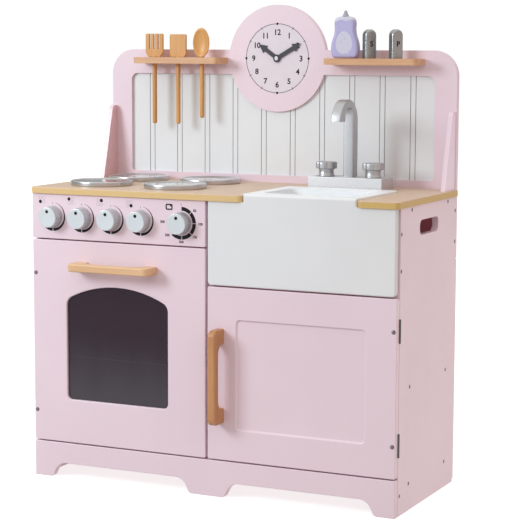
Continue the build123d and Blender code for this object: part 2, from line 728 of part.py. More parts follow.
def paddle(x, wide, tall, low_corner):
    face = rect(x - wide / 2, x + wide / 2, stand, stand + tall)
    face = fillet(face.vertices().group_by(Axis.Y)[0], low_corner)
    return fillet(face.vertices().group_by(Axis.Y)[-1], 3)


fork_face = paddle(fork_x, fork_wide, fork_tall, 9)
for x in (fork_x - tine_pitch, fork_x, fork_x + tine_pitch):
    fork_face -= rounded(x - tine_gap / 2, x + tine_gap / 2, stand + fork_root, stand + 2 * fork_tall, 1.5)
save("fork", board_xz(fork_face, *head_span(head_thick)) + stem(fork_x, long_tail))
spatula_face = paddle(spatula_x, spatula_wide, spatula_tall, 6)
save("spatula", board_xz(spatula_face, *head_span(head_thick)) + stem(spatula_x, long_tail))
spoon_face = Pos(spoon_x, stand + spoon_level) * Ellipse(spoon_half, spoon_rise)
spoon_face &= rect(spoon_x - spoon_half, spoon_x + spoon_half, stand, stand + 2 * spoon_rise)
spoon_head = board_xz(spoon_face, *head_span(spoon_thick))
scoop_size = (spoon_half - 2.5, 6, spoon_rise - 5.5)
scoop = Pos(spoon_x, utensil_y - spoon_thick / 2, stand + scoop_level) * scale(Sphere(1), scoop_size)
save("spoon", spoon_head - scoop + stem(spoon_x, short_tail))

# Bottle cut from flat stock with a turned nozzle, and two round-topped shakers
stock_y = carcass_back - stock_back
bottle_x = right_shelf_x + bottle_offset
bottle_points = [
    (20, 0), (25.5, 4), (27.8, 14), (27.8, 22), (26, 32),
    (21.8, 44), (20.4, 55), (21, 66), (18, 74.5), (10, bottle_tall),
]
bottle_right = [(bottle_x + u, stand + v) for u, v in bottle_points]
bottle_left = [(bottle_x - u, stand + v) for u, v in reversed(bottle_points)]
bottle_top = Line(bottle_right[-1], bottle_left[0])
bottle_base = Line(bottle_left[-1], bottle_right[0])
bottle_face = make_face([Spline(*bottle_right), bottle_top, Spline(*bottle_left), bottle_base])
bottle = board_xz(bottle_face, stock_y - stock_thick / 2, stock_y + stock_thick / 2)
nozzle = turned([(0, -5), (6.5, -5), (6.5, 0.5), (5.4, 3), (2.6, 10), (1.8, 11), (0, 11)])
bottle += Pos(bottle_x, stock_y, stand + bottle_tall) * nozzle
save("bottle", bottle)
shaker_face = rect(-shaker_half, shaker_half, 0, shaker_tall) + Pos(0, shaker_tall) * Circle(shaker_half)
shaker = board_xz(shaker_face, -stock_thick / 2, stock_thick / 2)
shaker = fillet(shaker.faces().sort_by(Axis.Y)[0].edges() + shaker.faces().sort_by(Axis.Y)[-1].edges(), 1.2)
for name, dx in (("salt_shaker", salt_offset), ("pepper_shaker", pepper_offset)):
    save(name, Pos(right_shelf_x + dx, stock_y + 2, stand) * Rot(0, 0, 52) * shaker)
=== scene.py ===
import math

import bpy
import numpy as np
from mathutils import Matrix, Vector


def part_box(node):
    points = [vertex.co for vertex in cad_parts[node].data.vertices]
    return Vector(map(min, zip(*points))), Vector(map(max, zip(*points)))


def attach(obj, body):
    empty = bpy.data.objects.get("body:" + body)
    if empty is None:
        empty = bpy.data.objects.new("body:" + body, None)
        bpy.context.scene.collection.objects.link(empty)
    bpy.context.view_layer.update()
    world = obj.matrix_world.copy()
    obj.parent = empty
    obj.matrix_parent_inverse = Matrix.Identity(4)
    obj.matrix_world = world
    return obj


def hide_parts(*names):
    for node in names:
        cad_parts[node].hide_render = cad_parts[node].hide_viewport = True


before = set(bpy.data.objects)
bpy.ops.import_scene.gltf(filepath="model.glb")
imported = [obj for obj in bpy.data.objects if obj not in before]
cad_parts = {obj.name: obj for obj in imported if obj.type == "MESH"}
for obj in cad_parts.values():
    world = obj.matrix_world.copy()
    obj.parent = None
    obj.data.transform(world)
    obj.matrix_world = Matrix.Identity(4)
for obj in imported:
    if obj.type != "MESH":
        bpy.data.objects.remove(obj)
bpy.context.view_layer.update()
print("frame loaded,", len(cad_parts), "nodes")

# lengths of the pieces are set in millimetres, the frame is in metres
mm = 0.001
turn = 2 * math.pi
quarterTurn = math.pi / 2


def low(node):
    return np.array(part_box(node)[0])


def high(node):
    return np.array(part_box(node)[1])


def middle(node):
    return (low(node) + high(node)) / 2


def standing(node, level):
    # the middle of a node, put at a level
    return np.array([*middle(node)[:2], level])


def scaled(values, amount):
    return tuple(value * amount for value in values)


# camera: angles in degrees, lens and sensor in millimetres, place in metres
cameraSet = {"yaw": 25.48, "pitch": 7.04, "roll": 0.20, "lens": 119.86, "sensor": 36.0,
             "place": (1.44175, -2.92576, 0.81956)}


def makeCamera(s):
    # looks along the yaw and pitch, then rolls about that line
    yaw, pitch, roll = (math.radians(s[k]) for k in ("yaw", "pitch", "roll"))
    ahead = Vector((-math.sin(yaw) * math.cos(pitch), math.cos(yaw) * math.cos(pitch), -math.sin(pitch)))
    across = Vector((math.cos(yaw), math.sin(yaw), 0))
    upward = across.cross(ahead)
    rolledAcross = math.cos(roll) * across + math.sin(roll) * upward
    rolledUp = -math.sin(roll) * across + math.cos(roll) * upward
    data = bpy.data.cameras.new("camera")
    data.lens = s["lens"]
    data.sensor_width = s["sensor"]
    camera = bpy.data.objects.new("camera", data)
    bpy.context.scene.collection.objects.link(camera)
    matrix = Matrix((rolledAcross, rolledUp, -ahead)).transposed().to_4x4()
    matrix.translation = Vector(s["place"])
    camera.matrix_world = matrix
    bpy.context.scene.camera = camera


makeCamera(cameraSet)
bpy.context.scene.view_settings.view_transform = "Standard"


# shader sums: a wire is a socket, and an operator on it adds a Math node
class Wire:
    def __init__(self, tree, socket):
        self.tree = tree
        self.socket = socket

    def math(self, operation, other=None, swapped=False):
        pair = (other, self) if swapped else (self, other)
        return self.tree.add("ShaderNodeMath", {"operation": operation}, dict(enumerate(pair)))

    def __add__(self, other):
        return self.math("ADD", other)

    def __sub__(self, other):
        return self.math("SUBTRACT", other)

    def __rsub__(self, other):
        return self.math("SUBTRACT", other, True)

    def __mul__(self, other):
        return self.math("MULTIPLY", other)

    def __truediv__(self, other):
        return self.math("DIVIDE", other)

    def __gt__(self, other):
        return self.math("GREATER_THAN", other)

    __radd__ = __add__
    __rmul__ = __mul__


class Tree:
    def __init__(self, nodeTree):
        self.nodes = nodeTree.nodes
        self.links = nodeTree.links
        self.nodes.clear()

    # the one way to a node: its type, its settings, then values or wires for its sockets
    def add(self, kind, settings=None, sockets=None, output=0):
        node = self.nodes.new(kind)
        for name, value in (settings or {}).items():
            setattr(node, name, value)
        for key, value in (sockets or {}).items():
            if isinstance(value, Wire):
                self.links.new(value.socket, node.inputs[key])
            elif value is not None:
                node.inputs[key].default_value = value
        return Wire(self, node.outputs[output] if len(node.outputs) else None)

    def place(self):
        return self.add("ShaderNodeTexCoord", output=3)

    def split(self, vector):
        parts = self.add("ShaderNodeSeparateXYZ", None, {0: vector})
        node = parts.socket.node
        return [Wire(self, node.outputs[i]) for i in range(3)]

    def stretched(self, vector, scale):
        return self.add("ShaderNodeMapping", None, {"Vector": vector, "Scale": scale})

    def noise(self, vector, scale, detail=3.0, rough=0.5):
        sockets = {"Vector": vector, "Scale": scale, "Detail": detail, "Roughness": rough}
        return self.add("ShaderNodeTexNoise", None, sockets)

    def mix(self, factor, a, b):
        a, b = (colour if isinstance(colour, Wire) else (*colour, 1) for colour in (a, b))
        return self.add("ShaderNodeMix", {"data_type": "RGBA"}, {0: factor, 6: a, 7: b}, 2)

    # from one shade of a tint to another
    def shades(self, factor, tint, first, last):
        return self.mix(factor, scaled(tint, first), scaled(tint, last))

    # a value moved up and down by a noise
    def varied(self, value, noise, amount):
        return value + (noise - 0.5) * amount

    def gloss(self, noise, s):
        return self.varied(s["gloss"], noise, s["glossRange"])

    # rises from 0 to 1 between two values
    def step(self, value, start, end):
        sockets = {"Value": value, "From Min": start, "From Max": end}
        return self.add("ShaderNodeMapRange", {"interpolation_type": "SMOOTHSTEP"}, sockets)

    def bump(self, height, strength, distance=0.0001):
        sockets = {"Height": height, "Strength": strength, "Distance": distance}
        return self.add("ShaderNodeBump", None, sockets)

    def surface(self, sockets):
        shader = self.add("ShaderNodeBsdfPrincipled", None, sockets)
        self.add("ShaderNodeOutputMaterial", None, {"Surface": shader})


def newFinish(name):
    material = bpy.data.materials.new(name)
    material.use_nodes = True
    return material, Tree(material.node_tree)


# where most values of a noise lie
noiseSpan = (0.3, 0.7)

# satin paint on fibreboard: faint cloudy tint, roller stipple and uneven gloss
paintSet = {"cloud": 5.0, "shades": (0.975, 1.015), "stipple": 620.0, "bump": 0.12, "depth": 0.00012,
            "gloss": 0.36, "glossScale": 24.0, "glossRange": 0.18, "coat": 0.12, "coatRough": 0.25,
            "paintedLightSkin": (0.4, 1.2)}


def satinPaint(name, tint, s=paintSet, paintedGlow=(0.0, 0.0, 0.0), paintedLightFace=None):
    # painted light: a board may glow faintly to stand in for light bounced onto it, and the right face of a
    # node may take its own tint of painted light and shade
    material, t = newFinish(name)
    place = t.place()
    cloud = t.step(t.noise(place, s["cloud"], detail=4.0), *noiseSpan)
    colour = t.shades(cloud, tint, *s["shades"])
    # painted light and shade: the node's right face, to a skin's depth in, takes a tint of its own
    if paintedLightFace:
        faceNode, paintedLightTint = paintedLightFace
        inside = float(high(faceNode)[0]) - t.split(place)[0]
        colour = t.mix(1 - t.step(inside, *scaled(s["paintedLightSkin"], mm)), colour, paintedLightTint)
    gloss = t.gloss(t.noise(place, s["glossScale"]), s)
    bump = t.bump(t.noise(place, s["stipple"], detail=2.0), s["bump"], s["depth"])
    # painted glow: the emission stands in for bounced light, it is no lamp
    t.surface({"Base Color": colour, "Roughness": gloss, "Normal": bump, "Coat Weight": s["coat"],
               "Coat Roughness": s["coatRough"], "Emission Color": (*paintedGlow, 1.0),
               "Emission Strength": 1.0 if any(paintedGlow) else 0.0})
    return material


# grooved panel: the white paint, with painted shade in the cuts just behind its front
grooveSet = {"cut": (0.27, 0.265, 0.27), "from": (0.15, 0.5), "to": (1.3, 1.6), "shades": (0.98, 1.01)}


def groovedPaint(name, tint, s, paint=paintSet):
    material, t = newFinish(name)
    place = t.place()
    depth = t.split(place)[1] - float(low("splashback_panel")[1])
    # painted shade: the cut tint fills the grooves behind the panel's front face
    inCutShade = t.step(depth, *scaled(s["from"], mm)) * (1 - t.step(depth, *scaled(s["to"], mm)))
    cloud = t.step(t.noise(place, paint["cloud"], detail=4.0), *noiseSpan)
    colour = t.mix(inCutShade, t.shades(cloud, tint, *s["shades"]), s["cut"])
    gloss = t.gloss(t.noise(place, paint["glossScale"]), paint)
    bump = t.bump(t.noise(place, paint["stipple"], detail=2.0), paint["bump"], paint["depth"])
    t.surface({"Base Color": colour, "Roughness": gloss, "Normal": bump})
    return material


# worktop: matt beige laminate on top, ochre band round the edge, with painted shade deepening it towards the
# right
worktopSet = {"top": (0.635, 0.468, 0.352), "topDark": (0.59, 0.425, 0.315), "edge": (0.735, 0.51, 0.23),
              "edgeShadedRight": (0.63, 0.425, 0.135), "shadeRightShare": 0.8, "roundOff": (2.2, 0.4), "fleck": 190.0,
              "fleckStretch": (1.0, 2.2, 2.2), "fleckSpan": (0.35, 0.68), "grain": 60.0,
              "grainStretch": (1.0, 1.0, 14.0), "grainShare": 0.15, "grainDark": 0.4, "gloss": 0.46,
              "glossRange": 0.2, "bump": 0.08, "depth": 0.0002}


def worktopLaminate(name, s):
    material, t = newFinish(name)
    place = t.place()
    across, _, level = t.split(place)
    right, _, topLevel = high("worktop").tolist()
    fleck = t.noise(t.stretched(place, s["fleckStretch"]), s["fleck"], detail=5.0, rough=0.65)
    top = t.mix(t.step(fleck, *s["fleckSpan"]), s["top"], s["topDark"])
    grain = t.noise(t.stretched(place, s["grainStretch"]), s["grain"])
    # painted shade: the ochre edge darkens from the left end towards the right
    edge = t.mix(t.step(across, 0.0, right * s["shadeRightShare"]), s["edge"], s["edgeShadedRight"])
    edge = t.mix(grain * s["grainShare"], edge, scaled(s["edge"], s["grainDark"]))
    roundFrom, roundTo = scaled(s["roundOff"], mm)
    colour = t.mix(t.step(level, topLevel - roundFrom, topLevel - roundTo), edge, top)
    gloss = t.gloss(fleck, s)
    t.surface({"Base Color": colour, "Roughness": gloss, "Normal": t.bump(fleck, s["bump"], s["depth"])})
    return material


# varnished beech: long growth bands, short dark flecks and fine pores along the grain
beechSet = {"stretch": 0.07, "band": 72.0, "sway": 22.0, "swayShare": 0.3, "bandSpan": (0.34, 0.66),
            "fleck": 350.0, "fleckSpan": (0.56, 0.72), "fleckShare": 0.45, "fleckDark": 0.78, "pore": 1300.0,
            "relief": 0.5, "bump": 0.16, "depth": 0.00025, "gloss": 0.42, "glossRange": 0.16, "coat": 0.1,
            "coatRough": 0.3}


def beech(name, along, light, dark, s=beechSet):
    material, t = newFinish(name)
    scale = [1.0, 1.0, 1.0]
    scale["xyz".index(along)] = s["stretch"]
    place = t.stretched(t.place(), tuple(scale))
    sway = t.noise(place, s["sway"], detail=2.0)
    bands = t.noise(place, s["band"], detail=3.0, rough=0.6)
    fleck = t.step(t.noise(place, s["fleck"], detail=2.0, rough=0.7), *s["fleckSpan"])
    pore = t.noise(place, s["pore"], detail=1.0)
    growth = bands * (1 - s["swayShare"]) + sway * s["swayShare"]
    tone = t.mix(t.step(growth, *s["bandSpan"]), light, dark)
    colour = t.mix(fleck * s["fleckShare"], tone, scaled(dark, s["fleckDark"]))
    height = pore * s["relief"] + fleck * -s["relief"]
    t.surface({"Base Color": colour, "Roughness": t.gloss(bands, s),
               "Normal": t.bump(height, s["bump"], s["depth"]), "Coat Weight": s["coat"],
               "Coat Roughness": s["coatRough"]})
    return material


# silver lacquer: tiny flakes in a grey tint, more or less metallic
silverSet = {"flake": 1500.0, "flakeSpan": (0.35, 0.7), "shades": (0.93, 1.06), "cloud": 16.0,
             "glossRange": 0.14, "bump": 0.05}


def silverLacquer(name, tint, metal, gloss, s=silverSet):
    material, t = newFinish(name)
    place = t.place()
    flake = t.noise(place, s["flake"], detail=1.0)
    colour = t.shades(t.step(flake, *s["flakeSpan"]), tint, *s["shades"])
    rough = t.varied(gloss, t.noise(place, s["cloud"]), s["glossRange"])
    bump = t.bump(flake, s["bump"])
    t.surface({"Base Color": colour, "Metallic": metal, "Roughness": rough, "Normal": bump})
    return material


# hob plate: silver with turning rings that follow the radius kept on each point, duller on the rim
hobFinish = {"rings": 5200.0, "cloud": 30.0, "flake": 1500.0, "flakeShare": 0.3, "shades": (0.95, 1.04),
             "rim": (53.0, 55.0), "gloss": 0.12, "rimGloss": 0.17, "glossRange": 0.08, "metal": 0.96,
             "bump": 0.02}


def hobLacquer(name, tint, s=hobFinish):
    material, t = newFinish(name)
    place = t.place()
    radius = t.add("ShaderNodeAttribute", {"attribute_name": "radius"}, output=2)
    ring = (radius * s["rings"]).math("SINE")
    cloud = t.noise(place, s["cloud"])
    flake = t.noise(place, s["flake"], detail=1.0)
    mottle = cloud * (1 - s["flakeShare"]) + flake * s["flakeShare"]
    colour = t.shades(t.step(mottle, *noiseSpan), tint, *s["shades"])
    rim = t.step(radius, *scaled(s["rim"], mm))
    rough = t.varied(s["gloss"] + rim * s["rimGloss"], cloud, s["glossRange"])
    bump = t.bump(ring, s["bump"])
    t.surface({"Base Color": colour, "Metallic": s["metal"], "Roughness": rough, "Normal": bump})
    return material


# zinc-plated steel with fine draw lines
steelSet = {"lines": 900.0, "linesStretch": (1.0, 1.0, 0.12), "stain": 60.0, "shades": (0.8, 1.15),
            "gloss": 0.34, "glossRange": 0.2, "metal": 0.85, "bump": 0.1}


def platedSteel(name, tint, s=steelSet):
    material, t = newFinish(name)
    place = t.place()
    lines = t.noise(t.stretched(place, s["linesStretch"]), s["lines"], detail=2.0)
    stain = t.noise(place, s["stain"])
    colour = t.shades(stain, tint, *s["shades"])
    rough = t.gloss(stain, s)
    bump = t.bump(lines, s["bump"])
    t.surface({"Base Color": colour, "Metallic": s["metal"], "Roughness": rough, "Normal": bump})
    return material


# smooth plastic or printed ink with a faint mottle
mottleSet = {"glossRange": 0.12, "bump": 0.04}


def mottled(name, tint, gloss, scale=140.0, amount=0.1, ior=1.45, s=mottleSet):
    material, t = newFinish(name)
    spots = t.noise(t.place(), scale)
    colour = t.shades(t.step(spots, *noiseSpan), tint, 1 - amount, 1 + amount)
    rough = t.varied(gloss, spots, s["glossRange"])
    bump = t.bump(spots, s["bump"])
    t.surface({"Base Color": colour, "Roughness": rough, "Normal": bump, "IOR": ior})
    return material


# oven pane: dark smoked acrylic, paler and greyer towards the bottom as a painted reflection, with wipe marks
# and a painted gleam where the edge of the shelf behind shows through
paneSet = {"upper": (0.027, 0.011, 0.023), "lower": (0.066, 0.057, 0.067), "paleTo": 0.66, "wipe": 18.0,
           "wipeStretch": (1.0, 1.0, 0.25), "wipeSway": 0.08, "shelfGleam": 236.0, "shelfGleamSway": 0.003,
           "shelfGleamShare": 0.35, "shelfGleamFrom": (-1.6, -0.4), "shelfGleamTo": (0.2, 1.4), "gloss": 0.2,
           "glossRange": 0.12, "alpha": 0.93, "ior": 1.3}


def smokedPane(name, s):
    material, t = newFinish(name)
    place = t.place()
    level = t.split(place)[2]
    bottom, top = float(low("oven_window")[2]), float(high("oven_window")[2])
    wipe = t.noise(t.stretched(place, s["wipeStretch"]), s["wipe"], detail=4.0)
    darkFrom = bottom + (top - bottom) * s["paleTo"]
    # painted reflection: the pane turns paler towards the bottom
    dark = t.step(t.varied(level, wipe, s["wipeSway"]), bottom, darkFrom)
    # painted light: a pale line at the height of the shelf edge behind the pane
    shelfGleam = t.varied(level, wipe, s["shelfGleamSway"]) - s["shelfGleam"] * mm
    gleamLine = t.step(shelfGleam, *scaled(s["shelfGleamFrom"], mm)) * (1 - t.step(shelfGleam, *scaled(s["shelfGleamTo"], mm)))
    colour = t.mix(gleamLine * s["shelfGleamShare"], t.mix(dark, s["lower"], s["upper"]), s["lower"])
    rough = t.gloss(wipe, s)
    t.surface({"Base Color": colour, "Roughness": rough, "Alpha": s["alpha"], "IOR": s["ior"]})
    return material


# bottle paint: lilac body, a pale cap with a wavy hem and a pale egg-shaped label with bubbles
bottleSet = {"body": (0.452, 0.424, 0.680), "pale": (0.60, 0.59, 0.71), "capFrom": 70.5, "hem": 0.3,
             "wave": 1.3, "waves": 310.0, "labelHigh": 29.3, "labelWide": 16.6, "labelTall": 21.4,
             "labelTaper": 0.14, "labelEdge": (0.93, 1.03), "bubbles": 118.0, "bubbleEdge": (0.22, 0.27),
             "bubbleShare": 0.55, "cloud": 40.0, "shades": (0.96, 1.04), "gloss": 0.4, "glossRange": 0.12,
             "grain": 800.0, "bump": 0.06}


def bottlePaint(name, s):
    material, t = newFinish(name)
    place = t.place()
    x, _, z = t.split(place)
    across = x - float(middle("bottle")[0])
    up = z - float(low("bottle")[2])
    wave = (across * s["waves"]).math("SINE") * (s["wave"] * mm)
    cap = t.step(up + wave, (s["capFrom"] - s["hem"]) * mm, (s["capFrom"] + s["hem"]) * mm)
    rise = (up - s["labelHigh"] * mm) / (s["labelTall"] * mm)
    swell = across / (s["labelWide"] * mm) * (1 + rise * s["labelTaper"])
    label = 1 - t.step(rise * rise + swell * swell, *s["labelEdge"])
    cells = t.add("ShaderNodeTexVoronoi", {"feature": "F1"}, {"Vector": place, "Scale": s["bubbles"]})
    bubble = (1 - t.step(cells, *s["bubbleEdge"])) * label
    cloud = t.noise(place, s["cloud"])
    body = t.shades(cloud, s["body"], *s["shades"])
    ground = t.mix(cap.math("MAXIMUM", label), body, s["pale"])
    colour = t.mix(bubble * s["bubbleShare"], ground, s["body"])
    rough = t.gloss(cloud, s)
    bump = t.bump(t.noise(place, s["grain"]), s["bump"])
    t.surface({"Base Color": colour, "Roughness": rough, "Normal": bump})
    return material


pinkTint = (0.795, 0.637, 0.708)
whiteTint = (0.765, 0.775, 0.79)
# painted shade on the left wing's right face, deeper and redder, and painted light on the right wing's right
# face, paler and cooler
leftWingShadedFace = (0.77, 0.50, 0.52)
rightWingLitFace = (0.90, 0.76, 0.90)
# inside the closed carcass the pink is painted a little deeper as shade, and given a faint painted glow that
# stands in for the light the boards around it throw
insideShade = 0.96
insideBounceGlow = (0.035, 0.009, 0.010)
finishes = {
    "pink": satinPaint("pink_satin_paint", pinkTint),
    "pinkLeftWingShaded": satinPaint("pink_left_wing_painted_shade", pinkTint, paintedLightFace=("left_wing", leftWingShadedFace)),
    "pinkRightWingLit": satinPaint("pink_right_wing_painted_light", pinkTint, paintedLightFace=("right_wing", rightWingLitFace)),
    "pinkInside": satinPaint("pink_inside_painted_shade_glow", scaled(pinkTint, insideShade), paintedGlow=insideBounceGlow),
    "white": satinPaint("white_satin_paint", whiteTint),
    "sinkWhite": satinPaint("sink_white_paint", (0.87, 0.89, 0.92)),
    "groovedWhite": groovedPaint("grooved_white_paint", whiteTint, grooveSet),
    "worktop": worktopLaminate("worktop_laminate", worktopSet),
    "shelfBeech": beech("shelf_beech", "x", (0.71, 0.415, 0.23), (0.59, 0.32, 0.158)),
    "ovenBeech": beech("oven_handle_beech", "x", (0.80, 0.52, 0.30), (0.68, 0.41, 0.215)),
    "uprightBeech": beech("upright_beech", "z", (0.55, 0.265, 0.11), (0.45, 0.20, 0.075)),
    "utensilBeech": beech("utensil_beech", "z", (0.69, 0.36, 0.112), (0.58, 0.28, 0.072)),
    "dowel": beech("pin_dowel_beech", "y", (0.66, 0.45, 0.27), (0.55, 0.34, 0.19)),
    "silver": silverLacquer("silver_lacquer", (0.565, 0.595, 0.62), metal=0.6, gloss=0.38),
    "tapSilver": silverLacquer("tap_silver_lacquer", (0.495, 0.495, 0.512), metal=0.95, gloss=0.4),
    "tapBaseSilver": silverLacquer("tap_base_silver", (0.68, 0.67, 0.68), metal=0.92, gloss=0.5),
    "tapKnobSilver": silverLacquer("tap_knob_silver", (0.475, 0.475, 0.49), metal=0.94, gloss=0.4),
    "shakerSilver": silverLacquer("shaker_silver", (0.375, 0.385, 0.38), metal=0.95, gloss=0.27),
    "hob": hobLacquer("hob_lacquer", (0.57, 0.565, 0.565)),
    "steel": platedSteel("plated_steel", (0.46, 0.45, 0.46)),
    "boltSteel": platedSteel("bolt_steel", (0.17, 0.135, 0.15)),
    "hingeSteel": platedSteel("hinge_steel", (0.10, 0.09, 0.095)),
    "hand": mottled("clock_hand_plastic", (0.062, 0.060, 0.070), gloss=0.42, ior=1.3),
    "ink": mottled("dial_ink", (0.015, 0.013, 0.015), gloss=0.55, ior=1.2),
    "faintInk": mottled("faint_dial_ink", (0.36, 0.31, 0.34), gloss=0.55),
    "clockFace": mottled("clock_face_print", (0.735, 0.665, 0.715), gloss=0.5, scale=60.0, amount=0.012),
    "magnet": mottled("magnet_case_plastic", (0.82, 0.82, 0.8), gloss=0.4),
    "pane": smokedPane("smoked_pane", paneSet),
    "bottle": bottlePaint("bottle_paint", bottleSet),
    "nozzle": mottled("nozzle_paint", (0.40, 0.39, 0.50), gloss=0.42),
}
print("finishes made:", len(finishes))

# each node takes its finish
knobNames = ["hob_knob_1", "hob_knob_2", "hob_knob_3", "hob_knob_4", "oven_knob"]
tapKnobNames = ["tap_knob_left", "tap_knob_right"]
hobNames = ["hob_disc_" + row + "_" + column for row in ("front", "rear") for column in ("left", "right")]
nodeFinish = {
    "pink": ["left_side_panel", "right_side_panel", "plinth", "control_fascia", "oven_door", "cupboard_door",
             "splashback_frame"],
    "pinkLeftWingShaded": ["left_wing"],
    "pinkRightWingLit": ["right_wing"],
    "pinkInside": ["centre_divider", "cabinet_floor", "oven_shelf", "cupboard_shelf", "sub_top", "front_rail",
                   "rear_rail", "plinth_batten", "lower_back_panel"],
    "white": ["sink_apron"],
    "sinkWhite": ["sink_basin"],
    "groovedWhite": ["splashback_panel"],
    "worktop": ["worktop"],
    "shelfBeech": ["left_shelf", "right_shelf"],
    "ovenBeech": ["oven_handle"],
    "uprightBeech": ["cupboard_handle"],
    "utensilBeech": ["fork", "spatula", "spoon"],
    "dowel": ["knob_pins"],
    "silver": knobNames,
    "tapSilver": ["tap_spout"],
    "tapBaseSilver": ["tap_base"],
    "tapKnobSilver": tapKnobNames,
    "shakerSilver": ["salt_shaker", "pepper_shaker"],
    "hob": hobNames,
    "steel": ["clock_pivot", "oven_strike_plate", "cupboard_strike_plate"],
    "boltSteel": ["carcass_screws", "oven_hinge_bolts", "cupboard_hinge_bolts"],
    "hingeSteel": ["hinge_pins", "carcass_hinge_leaves", "oven_hinge_leaves", "cupboard_hinge_leaves"],
    "hand": ["clock_hour_hand", "clock_minute_hand"],
    "magnet": ["magnet_catches"],
    "pane": ["oven_window"],
    "bottle": ["bottle"],
}
for finish, nodes in nodeFinish.items():
    for node in nodes:
        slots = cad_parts[node].data.materials
        slots.clear()
        slots.append(finishes[finish])
print("nodes dressed:", sum(len(nodes) for nodes in nodeFinish.values()))


# grids and closed parts: a part is its points and its faces
def gridFaces(rows, cols, wrapRows=False):
    # quads between neighbouring points, the columns always closing on themselves
    i, j = np.meshgrid(np.arange(rows if wrapRows else rows - 1), np.arange(cols), indexing="ij")
    nextRow, nextCol = (i + 1) % rows, (j + 1) % cols
    quads = [i * cols + j, nextRow * cols + j, nextRow * cols + nextCol, i * cols + nextCol]
    return np.stack(quads, axis=-1).reshape(-1, 4)


def fans(polygons):
    # each row of corners cut into the triangles that meet in its first corner
    first = np.broadcast_to(polygons[:, :1], polygons[:, 2:].shape)
    return np.stack([first, polygons[:, 1:-1], polygons[:, 2:]], axis=-1).reshape(-1, 3)


def signedVolume(points, polygons):
    # sum of the tetrahedra from the middle to every triangle, below zero where the faces look inwards
    local = points - points.mean(axis=0)
    a, b, c = local[np.concatenate([fans(corners) for corners in polygons])].transpose(1, 0, 2)
    return (a * np.cross(b, c)).sum()


def closedPart(grid, wrapRows=False):
    # a grid closed by its wrap or by a flat cap at each end, turned to face outwards
    rows, cols = grid.shape[:2]
    points = grid.reshape(-1, 3)
    polygons = [gridFaces(rows, cols, wrapRows)]
    if not wrapRows:
        around = np.arange(cols)
        polygons.append(np.stack([around[::-1], around + (rows - 1) * cols]))
    if signedVolume(points, polygons) < 0:
        polygons = [corners[:, ::-1] for corners in polygons]
    return points, [face for corners in polygons for face in corners.tolist()]


def makePiece(name, parts, finish, body, stands=(), sharp=40.0, radius=None):
    # one mesh of all the parts, smooth up to the sharp angle, on the body that carries it
    points, faces, start = [], [], 0
    for partPoints, partFaces in parts:
        points.append(partPoints)
        faces += [[index + start for index in face] for face in partFaces]
        start += len(partPoints)
    mesh = bpy.data.meshes.new(name)
    mesh.from_pydata(np.concatenate(points).tolist(), [], faces)
    mesh.polygons.foreach_set("use_smooth", np.ones(len(mesh.polygons), dtype=bool))
    mesh.set_sharp_from_angle(angle=math.radians(sharp))
    if radius is not None:
        kept = mesh.attributes.new("radius", "FLOAT", "POINT")
        kept.data.foreach_set("value", radius.astype(np.float32))
    mesh.materials.append(finishes[finish])
    made = bpy.data.objects.new(name, mesh)
    bpy.context.scene.collection.objects.link(made)
    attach(made, body)
    if stands:
        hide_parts(*stands)


def turnedGrid(profile, count):
    # each profile point (radius, height) swept round the z axis
    angle = np.arange(count) * turn / count
    r, h = np.asarray(profile, float).T[:, :, None]
    return np.stack([r * np.cos(angle), r * np.sin(angle), h + 0 * angle], axis=-1)


def arc(across, up, radius, start, end, steps):
    # points of a circle about (across, up), from one angle to another
    a = np.linspace(start, end, steps)
    return np.stack([across + radius * np.cos(a), up + radius * np.sin(a)], axis=-1)


def roundCorners(points, radii, steps=8):
    # each corner of a closed outline becomes an arc that touches both its sides
    p = np.asarray(points, float)
    r = np.broadcast_to(np.asarray(radii, float), (len(p),))[:, None]
    back = np.roll(p, 1, 0) - p
    ahead = np.roll(p, -1, 0) - p
    back /= np.linalg.norm(back, axis=1, keepdims=True)
    ahead /= np.linalg.norm(ahead, axis=1, keepdims=True)
    half = np.arccos(np.clip((back * ahead).sum(1, keepdims=True), -1, 1)) / 2
    middleWay = (back + ahead) / np.linalg.norm(back + ahead, axis=1, keepdims=True)
    centre = p + middleWay * r / np.sin(half)
    first = p + back * r / np.tan(half) - centre
    last = p + ahead * r / np.tan(half) - centre
    start = np.arctan2(first[:, 1], first[:, 0])[:, None]
    sweep = np.arctan2(last[:, 1], last[:, 0])[:, None] - start
    sweep = (sweep + math.pi) % turn - math.pi
    angle = start + sweep * np.linspace(0, 1, steps)
    arc = centre[:, None, :] + r[:, None, :] * np.stack([np.cos(angle), np.sin(angle)], axis=-1)
    return arc.reshape(-1, 2)


def curveThrough(points, steps=8):
    # Catmull-Rom curve through the points, its ends kept
    p = np.asarray(points, float)
    p = np.concatenate([2 * p[:1] - p[1:2], p, 2 * p[-1:] - p[-2:-1]])
    a, b, c, d = p[:-3, None], p[1:-2, None], p[2:-1, None], p[3:, None]
    t = np.linspace(0, 1, steps, endpoint=False)[None, :, None]
    squared = (2 * a - 5 * b + 4 * c - d) * t ** 2
    cubed = (3 * b - a - 3 * c + d) * t ** 3
    curve = 0.5 * (2 * b + (c - a) * t + squared + cubed)
    return np.concatenate([curve.reshape(-1, 2), p[-2:-1]])


def inset(outline, amount, sharpest=0.3):
    # a closed outline, run anticlockwise, moved inwards by the same amount along both sides of each corner
    ahead = np.roll(outline, -1, 0) - outline
    ahead /= np.linalg.norm(ahead, axis=1, keepdims=True) + 1e-12
    behind = np.roll(ahead, 1, 0)
    inwardA = np.stack([-ahead[:, 1], ahead[:, 0]], 1)
    inwardB = np.stack([-behind[:, 1], behind[:, 0]], 1)
    bend = 1 + (inwardA * inwardB).sum(1, keepdims=True)
    return outline + (inwardA + inwardB) / np.maximum(bend, sharpest) * amount


